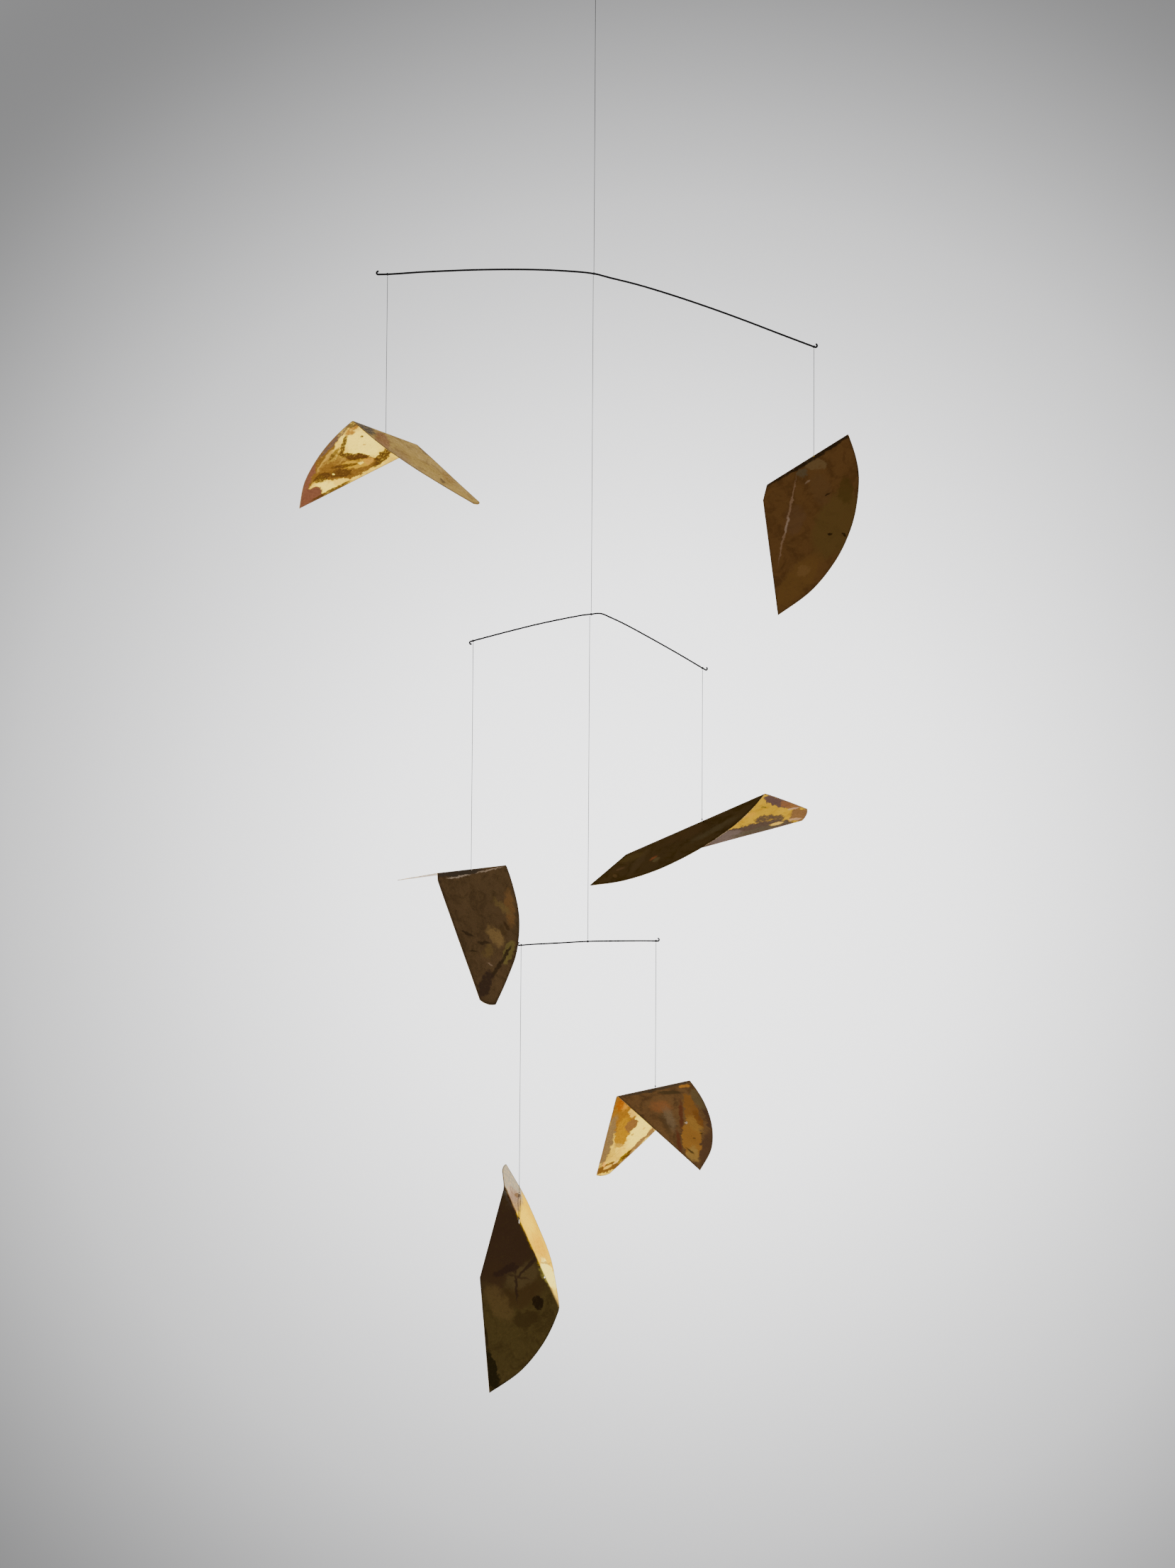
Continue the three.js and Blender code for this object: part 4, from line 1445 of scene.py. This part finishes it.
    def drill(self, piece: Solid, turn: Array, fold_length: float) -> None:
        """Bores the hanging hole, plumb, and the spare hole, square to the ridge.

        Args:
            piece: the leaf.
            turn: its attitude.
            fold_length: length of its fold, mm.
        """
        bores = [(np.zeros(3), UPWARD)]
        if self.spare_hole:
            step = (self.spare_hole - self.hole) * fold_length
            bores.append((turn @ np.array([step, 0, 0]), turn @ UPWARD))
        for number, (offset, direction) in enumerate(bores):
            reach = np.linspace(-self.BORE_REACH, self.BORE_REACH, 3)[:, None]
            line = np.array(self.place) + offset + reach * direction
            bit = Strand(HOLE_RADIUS, self.BORE_SIDES).build(f"bit_{number}", line, turn @ AHEAD)
            bit.data.materials.append(piece.data.materials[Layer.RIM.value])
            cut = piece.modifiers.new("hole", "BOOLEAN")
            cut.object, cut.operation, cut.solver = bit, "DIFFERENCE", "EXACT"
            graph = bpy.context.evaluated_depsgraph_get()
            mesh = bpy.data.meshes.new_from_object(
                piece.evaluated_get(graph), preserve_all_data_layers=True, depsgraph=graph)
            piece.modifiers.clear()
            piece.data = mesh
            bpy.data.objects.remove(bit)
        piece.data.set_sharp_from_angle(angle=self.SHARP)


# ------------------------------------------------------------------ threads and knots


def centre_of(node: str) -> Array:
    """The middle of a solid's box, mm."""
    low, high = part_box(node)
    return np.array((low + high) / 2) / MM


def overhand_knot(centre: Array, radius: float) -> Array:
    """A knotted line: three lobes round an upright axis that pass over and under each other.

    The reach from the axis is (2 plus the cosine of 3 t) times the size, at angle 2 t,
    and the height is 1.6 times the sine of 3 t times the size.

    Args:
        centre: the knot's middle, mm.
        radius: how far it reaches, mm.

    Returns:
        Points of the line, which stays open by a small gap.
    """
    gap, lobe_reach, steepness = 0.1, 4.1, 1.6
    t = np.linspace(gap, 2 * math.pi - gap, 60)
    size = radius / lobe_reach
    reach = size * (2 + np.cos(3 * t))
    height = steepness * size * np.sin(3 * t)
    return centre + np.stack([reach * np.cos(2 * t), reach * np.sin(2 * t), height], 1)


def winding(centre: Array, axis: Array, radius: float, half_length: float, turns: float) -> Array:
    """A helix round an axis: a circle whose middle moves evenly along it.

    Args:
        centre: its middle, mm.
        axis: direction of the axis.
        radius: its radius, mm.
        half_length: half of its length, mm.
        turns: how many turns it has.

    Returns:
        Points of the helix.
    """
    any_way, points_per_turn = np.array([0.13, 0.2, 1.0]), 26
    side, up = side_frames(centre + np.array([-1.0, 0, 1])[:, None] * axis, any_way)
    t = np.linspace(-1, 1, int(points_per_turn * turns))
    angle = math.pi * turns * t
    around = np.cos(angle)[:, None] * side[0] + np.sin(angle)[:, None] * up[0]
    return centre + half_length * t[:, None] * axis + radius * around


@dataclass(frozen=True)
class Rigging:
    """Everything made of thread, in one finish.

    Attributes:
        material: the thread's finish.
        laid: the plumb threads and the loop.
        tied: the thread of the knots under the leaves.
        wound: the thread of the ties and of the knots above leaves.
        step: distance between the points of a plumb thread, mm.
        knot_room: how far the knots' middle line stays inside their beads, mm.
        tie_room: clear space between a tie and its wire, mm.
        tie_turns: turns of a tie.
        high_knots: leaves with a small knot above them.
        high_knot_radius: how far such a knot's middle line lies outside the thread, mm.
        high_knot_half: half of its length, mm.
        high_knot_turns: its turns.
        loop_route: one half of the loop from its top: place aside, mm, and height over
            the hole as a share of the whole.
        loop_foot: half of the loop's width at its foot, and that place's height over it, mm.
        loop_heading: compass heading of the loop's plane, degrees.
    """

    material: Material
    laid: Strand = Strand(THREAD_RADIUS, 8, 2)
    tied: Strand = Strand(0.24, 8, 2, 1.2)
    wound: Strand = Strand(0.22, 8, 2, 1.2)
    step: float = 0.6
    knot_room: float = 0.2
    tie_room: float = 0.05
    tie_turns: int = 4
    high_knots: tuple[int, ...] = (4, 5)
    high_knot_radius: float = 0.3
    high_knot_half: float = 0.5
    high_knot_turns: int = 3
    loop_route: tuple[tuple[float, float], ...] = (
        (-0.5, 1.0), (-1.1, 0.75), (-0.9, 0.4), (-0.42, 0.08))
    loop_foot: tuple[float, float] = (0.4, 0.6)
    loop_heading: float = 10

    FINE = 1500
    LOOP_POINTS = 140

    def lay(self, node: str, body: str, line: Array, reference: Array, length: float,
            far_end: FarEnd) -> None:
        """A thread along a line.

        Args:
            node: the solid it stands for, which also names the piece.
            body: what it moves with.
            line: its middle line, mm.
            reference: direction that the twist starts from.
            length: not used.
            far_end: not used.
        """
        piece = self.laid.build(node + "_laid", line, reference)
        dress(piece, node, body, "dark_thread", self.material)

    def run_threads(self) -> None:
        """Every plumb thread, each at its solid's place and height."""
        bodies = {"thread_arm_1": "ceiling", "thread_arm_2": "arm_2", "thread_arm_3": "arm_3"}
        bodies |= {f"thread_leaf_{number}": f"leaf_{number}" for number in range(1, 7)}
        for node, body in bodies.items():
            low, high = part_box(node)
            top, bottom = high.z / MM, low.z / MM
            height = np.linspace(top, bottom, int((top - bottom) / self.step) + 2)
            line = np.stack([np.full(len(height), (low.x + high.x) / 2 / MM),
                             np.full(len(height), (low.y + high.y) / 2 / MM), height], 1)
            self.lay(node, body, line, AHEAD, top - bottom, FarEnd.KNOT)

    def knot(self, strand: Strand, node: str, suffix: str, body: str, line: Array,
             reference: Array) -> None:
        """A piece of knotted thread in place of a plain bead or ring.

        Args:
            strand: the thread.
            node: the solid it stands for.
            suffix: what the piece's name adds to it.
            body: what it moves with.
            line: its middle line, mm.
            reference: direction that the twist starts from.
        """
        dress(strand.build(node + suffix, line, reference), node, body, "dark_thread",
              self.material)

    def run_knots(self) -> None:
        """The knots under and over the leaves, and the tie on the ceiling eye."""
        for number in range(1, 7):
            node = f"knot_leaf_{number}"
            line = overhand_knot(centre_of(node), BEAD_RADIUS - self.knot_room)
            self.knot(self.tied, node, "_tied", f"leaf_{number}", line, UPWARD)
        for number in self.high_knots:
            node = f"knot_above_leaf_{number}"
            radius = THREAD_RADIUS + self.high_knot_radius
            line = winding(centre_of(node), UPWARD, radius, self.high_knot_half,
                           self.high_knot_turns)
            self.knot(self.wound, node, "_wound", f"leaf_{number}", line, UPWARD)
        self.tie("tie_ceiling_eye", "ceiling", EYE_BOTTOM * UPWARD, AHEAD, EYE_WIRE)

    def tie(self, node: str, body: str, centre: Array, axis: Array, wire: float) -> None:
        """Thread wound tight round a wire.

        Args:
            node: the solid it stands for.
            body: what it moves with.
            centre: its middle, mm.
            axis: direction of the wire.
            wire: radius of the wire, mm.
        """
        strand = self.wound.radius
        line = winding(centre, axis, wire + strand + self.tie_room, TIE_HALF_LENGTH - strand,
                       self.tie_turns)
        self.knot(self.wound, node, "_wound", body, line, axis)

    def run_loop(self, leaf: Leaf) -> None:
        """The hairpin of thread that carries a leaf: down through its hole and back up.

        Args:
            leaf: the leaf.
        """
        node = f"loop_{leaf.name}"
        low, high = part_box(node)
        centre = np.array(leaf.place)
        height = (high.z / MM - centre[2]) - THREAD_RADIUS
        bottom = low.z / MM - centre[2] + THREAD_RADIUS
        aside, rise = self.loop_foot
        down = [(x, share * height) for x, share in self.loop_route]
        down.append((-aside, bottom + rise))
        knots = [*down, (0.0, bottom), *[(-x, z) for x, z in down[::-1]]]
        plane = np.array([(x, 0.0, z) for x, z in knots])
        heading = math.radians(self.loop_heading)
        curve = even_points(centripetal_spline(plane, self.FINE), self.LOOP_POINTS)
        line = turned(curve, heading) + centre
        self.lay(node, leaf.name, line, turned(ASIDE, heading), travelled(line)[-1],
                 FarEnd.OBJECT)


# ------------------------------------------------------------------ wire arms


@dataclass(frozen=True)
class End:
    """What hangs on one end of an arm.

    Attributes:
        leaf: the leaf's number.
        at: its tie's distance along the heading, mm.
        curl_up: whether the wire's end curls up.
    """

    leaf: int
    at: float
    curl_up: bool


@dataclass(frozen=True)
class Arm:
    """A bent wire, hung from its tie.

    Attributes:
        number: its number from the top.
        origin: its tie's place, mm.
        heading: compass heading, degrees.
        wire: radius of the wire, mm.
        curl: radius of its end curls, mm.
        route: its line in its own upright plane, mm.
        left: what hangs on its left end.
        right: what hangs on its right end.
    """

    number: int
    origin: tuple[float, float, float]
    heading: float
    wire: float
    curl: float
    route: tuple[tuple[float, float], ...]
    left: End
    right: End

    FINE = 3000
    SIDES = 14
    CURL_TURN = math.radians(195)
    CURL_POINTS = 21
    LOOK_AHEAD = 0.5

    @property
    def name(self) -> str:
        """The arm's name, which its body shares."""
        return f"arm_{self.number}"

    def line(self) -> Array:
        """The bent line between the curls, with a point every 2 mm.

        Returns:
            Points in the arm's plane: along, 0, height.
        """
        knots = np.array([(x, 0.0, z) for x, z in self.route])
        count = int(max(knots[:, 0]) - min(knots[:, 0])) // 2
        return even_points(centripetal_spline(knots, self.FINE), count)

    def curl_line(self, start: Array, out: Array, up: bool) -> Array:
        """The end curl: a circle that the wire runs on to.

        Args:
            start: where the wire ends.
            out: its direction there.
            up: whether the circle lies above it.

        Returns:
            Points of the curl, from the wire outwards.
        """
        side = np.array([-out[2], 0, out[0]])
        if (side[2] > 0) != up:
            side = -side
        angle = np.linspace(0, self.CURL_TURN, self.CURL_POINTS + 1)[1:, None]
        return start + self.curl * ((1 - np.cos(angle)) * side + np.sin(angle) * out)

    def centre_line(self) -> Array:
        """The whole wire: curl, bent line, curl.

        Returns:
            Points in the arm's plane.
        """
        line = self.line()
        first, last = line[0] - line[1], line[-1] - line[-2]
        left = self.curl_line(line[0], first / np.linalg.norm(first), self.left.curl_up)
        right = self.curl_line(line[-1], last / np.linalg.norm(last), self.right.curl_up)
        return np.vstack([left[::-1], line, right])

    def placed(self, points: Array) -> Array:
        """Points of the arm's plane in the part's frame."""
        return turned(points, math.radians(self.heading)) + np.array(self.origin)

    def place_at(self, distance: float) -> tuple[Array, Array]:
        """The wire at a distance along the heading.

        Args:
            distance: the distance, mm.

        Returns:
            The point and the direction there, in the arm's plane.
        """
        line = self.line()
        ahead = distance + self.LOOK_AHEAD
        point, beyond = (
            np.array([np.interp(at, line[:, 0], place) for place in line.T])
            for at in (distance, ahead))
        along = beyond - point
        return point, along / np.linalg.norm(along)

    def build(self, steel: Material, rigging: Rigging) -> None:
        """The wire, and the thread wound on it at its ends and its middle.

        Args:
            steel: the wire's finish.
            rigging: what winds the ties.
        """
        heading = math.radians(self.heading)
        line, normal = self.placed(self.centre_line()), turned(ASIDE, heading)
        wire = Strand(self.wire, self.SIDES).build(self.name + "_wire", line, normal)
        dress(wire, self.name, self.name, "blackened_wire", steel)
        for where, distance in (("left", self.left.at), ("middle", 0.0), ("right", self.right.at)):
            point, along = self.place_at(distance)
            rigging.tie(f"tie_{self.name}_{where}", self.name, self.placed(point),
                        turned(along, heading), self.wire)


# ------------------------------------------------------------------ ceiling rose


@dataclass(frozen=True)
class Rose:
    """The small ceiling rose with its eye.

    Attributes:
        radius: of the plate, mm.
        thickness: of the plate, mm.
        lip: the plate's eased upper edge, mm.
        rim: radius of its rounded lower edge, mm.
        neck: radius of the eye's neck, mm.
        cove: radius of the hollow between plate and neck, mm.
        core: radius at which the turned faces are closed, mm.
        sunk: how far the neck runs into the eye, mm.
        eye_drop: depth of the eye's middle, mm.
        eye_radius: mean radius of the eye, mm.
        eye_wire: radius of the eye's wire, mm.
    """

    radius: float = 17.0
    thickness: float = 3.4
    lip: float = 0.3
    rim: float = 1.2
    neck: float = 1.9
    cove: float = 1.1
    core: float = 0.02
    sunk: float = 0.4
    eye_drop: float = 16.4
    eye_radius: float = 7.2
    eye_wire: float = EYE_WIRE

    EASE_POINTS = 7
    SIDES = 64
    EYE_STEPS = 72
    EYE_SIDES = 16
    SHARP = math.radians(40)

    def profile(self) -> Array:
        """The turned outline: top, rounded rim, hollow and neck.

        Rim and hollow are quarter circles.

        Returns:
            Radius and height of each point, mm.
        """
        ease = np.linspace(0, math.pi / 2, self.EASE_POINTS)
        cos, sin = np.cos(ease), np.sin(ease)
        under = -self.thickness
        rim = np.stack([self.radius - self.rim * (1 - cos), under + self.rim * (1 - sin)], 1)
        cove = np.stack([self.neck + self.cove * (1 - sin), under - self.cove * (1 - cos)], 1)
        foot = -self.eye_drop + self.eye_radius - self.sunk
        top = [[self.core, 0], [self.radius * 0.6, 0], [self.radius - self.lip, 0],
               [self.radius, -self.lip]]
        return np.vstack([top, rim, cove, [[self.neck, foot], [self.core, foot]]])

    def eye(self) -> Array:
        """The eye: a circle carried round a circle in the plane of x and z.

        Returns:
            Its points, ring by ring, mm.
        """
        turn = circle(self.EYE_STEPS)[:, None]
        section = circle(self.EYE_SIDES)[None, :]
        reach = self.eye_radius + self.eye_wire * section[..., 0]
        aside = self.eye_wire * section[..., 1] + 0 * turn[..., 0]
        down = reach * turn[..., 1] - self.eye_drop
        return np.stack([reach * turn[..., 0], aside, down], -1).reshape(-1, 3)

    def build(self, material: Material) -> Solid:
        """The plate and neck, turned from the profile, and the round eye under them.

        Args:
            material: the finish.

        Returns:
            The rose.
        """
        profile = self.profile()
        rows, sides = len(profile), self.SIDES
        body = np.concatenate([
            np.repeat(profile[:, None, :1], sides, 1) * circle(sides)[None],
            np.repeat(profile[:, None, 1:], sides, 1)], 2).reshape(-1, 3)
        faces = grid_faces(rows, sides, True)[:, ::-1]
        eye_faces = grid_faces(self.EYE_STEPS + 1, self.EYE_SIDES, True)
        eye_faces = eye_faces % (self.EYE_STEPS * self.EYE_SIDES) + len(body)
        last = (rows - 1) * sides
        caps = [list(range(sides)), list(range(last, last + sides))[::-1]]
        points, quads = np.vstack([body, self.eye()]), np.vstack([faces, eye_faces])
        piece = add_mesh("ceiling_rose_turned", points, quads, caps)
        piece.data.set_sharp_from_angle(angle=self.SHARP)
        return dress(piece, "ceiling_rose", "ceiling", "rose_metal", material)


# ------------------------------------------------------------------ the mobile's parts

ARMS = (
    Arm(1, (0, 0, -308.4), 0, 1.0, 1.6,
        ((-215.5, -2.2), (-206.3, -1.9), (-168, 0.8), (-115, 3.2), (-62, 3.7), (-27, 2.5), (0, 0),
         (16, -4), (44, -10.9), (79, -21.4), (115, -33.4), (150, -46), (186, -59.7), (218, -71.7),
         (221, -72.8)),
        End(1, -206.3, True), End(2, 220.0, True)),
    Arm(2, (-0.6, 0, -650.2), 18, 0.8, 1.3,
        ((-123.5, -32.2), (-112, -28.7), (-83, -20.1), (-54, -12), (-25, -4.9), (-7, -1), (0, 0),
         (7, 1.1), (12, 0.7), (19, -1.9), (34, -7.9), (64, -22), (94, -36.8), (113.5, -46.9),
         (121.5, -51)),
        End(3, -120.9, False), End(4, 118.4, True)),
    Arm(3, (-2.1, 0, -973.9), 10, 0.75, 1.25,
        ((-68.2, -4.1), (-56, -3.2), (-35, -2.1), (-14, -0.9), (0, -0.2), (15, 0.1), (36, 0.4),
         (61, 0.5), (70.6, 0.3)),
        End(6, -66.3, True), End(5, 68.7, True)),
)

LEAVES = (
    Leaf(1, (-206.3, 0, -470.6), 118.2, 0.159, 72.4, 75.3, -1, 0.49, 231.9, 0.6,
         LEAF_1_OUTER, LEAF_1_INNER),
    Leaf(2, (220.0, 0, -490.6), 121.0, 0.139, 119.6, 86.7, -1, 0.577, 351.7, 0.6,
         LEAF_2_OUTER, LEAF_2_INNER),
    Leaf(3, (-115.58, -37.36, -904.4), 120.5, -0.063, 65.2, 72.3, 1, 0.486, 45.5, 0.6,
         LEAF_3_OUTER, LEAF_3_INNER),
    Leaf(4, (112.01, 36.59, -854.1), 118.3, -0.559, 124.2, 65.1, -1, 0.548, 347.4, 0.6,
         LEAF_4_OUTER, LEAF_4_INNER),
    Leaf(5, (65.56, 11.93, -1118.5), 121.2, -0.022, 81.9, 82.7, -1, 0.519, 39.0, 0.53,
         LEAF_5_OUTER, LEAF_5_INNER),
    Leaf(6, (-67.39, -11.51, -1245.6), 109.7, 0.814, 62.6, 53.3, -1, 0.276, 8.8, 0.67,
         LEAF_6_OUTER, LEAF_6_INNER, NARROW_CUT, 4, 0.74),
)


# ------------------------------------------------------------------ camera, light and stage


@dataclass(frozen=True)
class Studio:
    """The camera, the soft light and the pale floor.

    Attributes:
        eye: the camera's place, m.
        pitch: how far it looks up, degrees.
        roll: how far it is turned about its own line of sight, degrees.
        focal: focal length in picture heights.
        sensor: the sensor's long side, mm.
        floor_height: height of the floor, m.
        floor_radius: radius of the floor, m.
        floor_rings: rings of its mesh, as shares of the radius.
        floor_sides: points round it.
        floor_tones: both tones of the floor.
        floor_cloud: clouds of those tones in a metre.
        floor_roughness: gloss of the floor.
        floor_glow: light that the floor gives off, so that it stays pale from every side.
        wall_middle: direction of the wall's brightest spot.
        wall_peak: brightness there.
        wall_stops: degrees from that spot, each with a share of the peak.
        wall_blue: how much bluer the wall is than grey.
        dim: light from above and in front.
        bright: light from behind and below.
    """

    eye: tuple[float, float, float] = (-0.0033, -2.135, -0.9158)
    pitch: float = 2.6
    roll: float = 0.35
    focal: float = 1.3788427
    sensor: float = 36.0
    floor_height: float = -2.35
    floor_radius: float = 1.6
    floor_rings: tuple[float, ...] = (0.02, 0.5, 0.98, 1.0)
    floor_sides: int = 96
    floor_tones: tuple[Colour, Colour] = ((0.6, 0.6, 0.61), (0.68, 0.68, 0.69))
    floor_cloud: float = 3.0
    floor_roughness: float = 0.8
    floor_glow: float = 1.2
    wall_middle: tuple[float, float, float] = (0.04, 0.998, 0.006)
    wall_peak: float = 3.4
    wall_stops: tuple[tuple[float, float], ...] = (
        (0, 1.0), (8, 0.82), (13, 0.5), (17.5, 0.29), (21, 0.16), (25, 0.066), (30, 0.09),
        (40, 0.22), (60, 0.25))
    wall_blue: float = 1.012
    dim: Colour = (0.2, 0.2, 0.2)
    bright: Colour = (3.0, 3.0, 3.05)

    # Ranges of a ray's direction, some with the share of the bright light that they get.
    BEHIND = (-0.15, 0.65)
    LOW = (0.05, 1.0, 1.0, 0.0)
    BELOW = (-0.95, -0.25, 0.12, 0.0)

    def place_camera(self) -> None:
        """A camera without blur, whose sensor's long side is the picture's height."""
        data = bpy.data.cameras.new("camera")
        data.sensor_fit = "AUTO"
        data.sensor_width = self.sensor
        data.lens = self.focal * data.sensor_width
        data.dof.use_dof = False
        camera = bpy.data.objects.new("camera", data)
        upright = Matrix.Rotation(math.radians(90 + self.pitch), 4, "X")
        look = upright @ Matrix.Rotation(math.radians(self.roll), 4, "Z")
        camera.matrix_world = Matrix.Translation(self.eye) @ look
        bpy.context.scene.collection.objects.link(camera)
        bpy.context.scene.camera = camera

    def light(self) -> None:
        """A pale wall for the eye, and round the mobile one bright wall's and floor's light."""
        world = bpy.data.worlds.new("studio")
        bpy.context.scene.world = world
        world.use_nodes = True
        nodes = Nodes(world.node_tree)
        direction = nodes.add("ShaderNodeTexCoord").outputs["Generated"]
        seen = world.node_tree.nodes["Background"]
        nodes.feed(seen.inputs["Color"], self.wall_tone(nodes, direction))
        nodes.feed(seen.inputs["Strength"], self.wall_peak)
        room = nodes.add("ShaderNodeBackground", {"Color": self.room_light(nodes, direction)})
        by_eye = nodes.add("ShaderNodeLightPath").outputs["Is Camera Ray"]
        both = nodes.add("ShaderNodeMixShader", {0: by_eye, 1: room.outputs[0], 2: seen.outputs[0]})
        nodes.feed(world.node_tree.nodes["World Output"].inputs["Surface"], both.outputs[0])

    def wall_tone(self, nodes: Nodes, direction: Socket) -> Socket:
        """The wall's brightness as a share of its peak, by the angle from its brightest spot.

        Args:
            nodes: the world's nodes.
            direction: where a ray goes.

        Returns:
            The share, as a colour.
        """
        widest = self.wall_stops[-1][0]
        aligned = nodes.add("ShaderNodeVectorMath", {0: direction, 1: self.wall_middle},
                            operation="DOT_PRODUCT")
        angle = nodes.maths("ARCCOSINE", aligned.outputs["Value"], 0.0, False)
        share = nodes.maths("DIVIDE", angle, math.radians(widest))
        ramp = nodes.add("ShaderNodeValToRGB", {"Fac": share})
        ramp.color_ramp.interpolation = "B_SPLINE"
        stops = ramp.color_ramp.elements
        for index, (degrees, tone) in enumerate(self.wall_stops):
            stop = stops[0] if index == 0 else stops.new(degrees / widest)
            stop.position = degrees / widest
            stop.color = (tone, tone, self.wall_blue * tone, 1)
        stops.remove(stops[-1])
        return ramp.outputs["Color"]

    def room_light(self, nodes: Nodes, direction: Socket) -> Socket:
        """What lights the mobile: bright behind it and low down, dim above and in front.

        Args:
            nodes: the world's nodes.
            direction: where a ray goes.

        Returns:
            The light's colour.
        """
        axes = nodes.add("ShaderNodeSeparateXYZ", {0: direction})
        behind = nodes.spread(axes.outputs["Y"], *self.BEHIND)
        low = nodes.spread(axes.outputs["Z"], *self.LOW)
        wall = nodes.maths("MULTIPLY", behind, low)
        floor = nodes.spread(axes.outputs["Z"], *self.BELOW)
        glow = nodes.maths("MAXIMUM", wall, floor)
        return nodes.blend(glow, self.dim, self.bright)

    def lay_floor(self) -> None:
        """A plain pale disc well below the mobile."""
        reach = self.floor_radius * np.array(self.floor_rings)[:, None, None] / MM
        flat = (reach * circle(self.floor_sides)[None]).reshape(-1, 2)
        points = np.c_[flat, np.full(len(flat), self.floor_height / MM)]
        faces = grid_faces(len(self.floor_rings), self.floor_sides, True)
        floor = add_mesh("floor", points, faces, [list(range(self.floor_sides))[::-1]])
        paint = Paint("floor_paint")
        cloud = paint.noise(paint.place(), self.floor_cloud, 3)
        floor.data.materials.append(paint.finish(
            Base_Color=paint.blend(cloud, *self.floor_tones), Roughness=self.floor_roughness,
            Emission_Color=(1, 1, 1), Emission_Strength=self.floor_glow))
        floor.visible_glossy = False


def main() -> None:
    """Builds the studio, the threads, the arms and the leaves."""
    logging.basicConfig(level=logging.INFO, format="%(message)s")
    studio = Studio()
    studio.place_camera()
    rigging = Rigging(ThreadFinish().make())
    rigging.run_threads()
    rigging.run_knots()
    rigging.run_loop(LEAVES[-1])
    steel = WireFinish("blackened_wire", (0.012, 0.011, 0.011), (0.05, 0.045, 0.042), 0.42).make()
    for arm in ARMS:
        arm.build(steel, rigging)
    Rose().build(WireFinish("rose_metal", (0.09, 0.075, 0.055), (0.2, 0.17, 0.13), 0.36).make())
    rim = CutEdge().make()
    for leaf in LEAVES:
        leaf.build(rim)
    studio.lay_floor()
    studio.light()


if __name__ == "__main__":
    main()
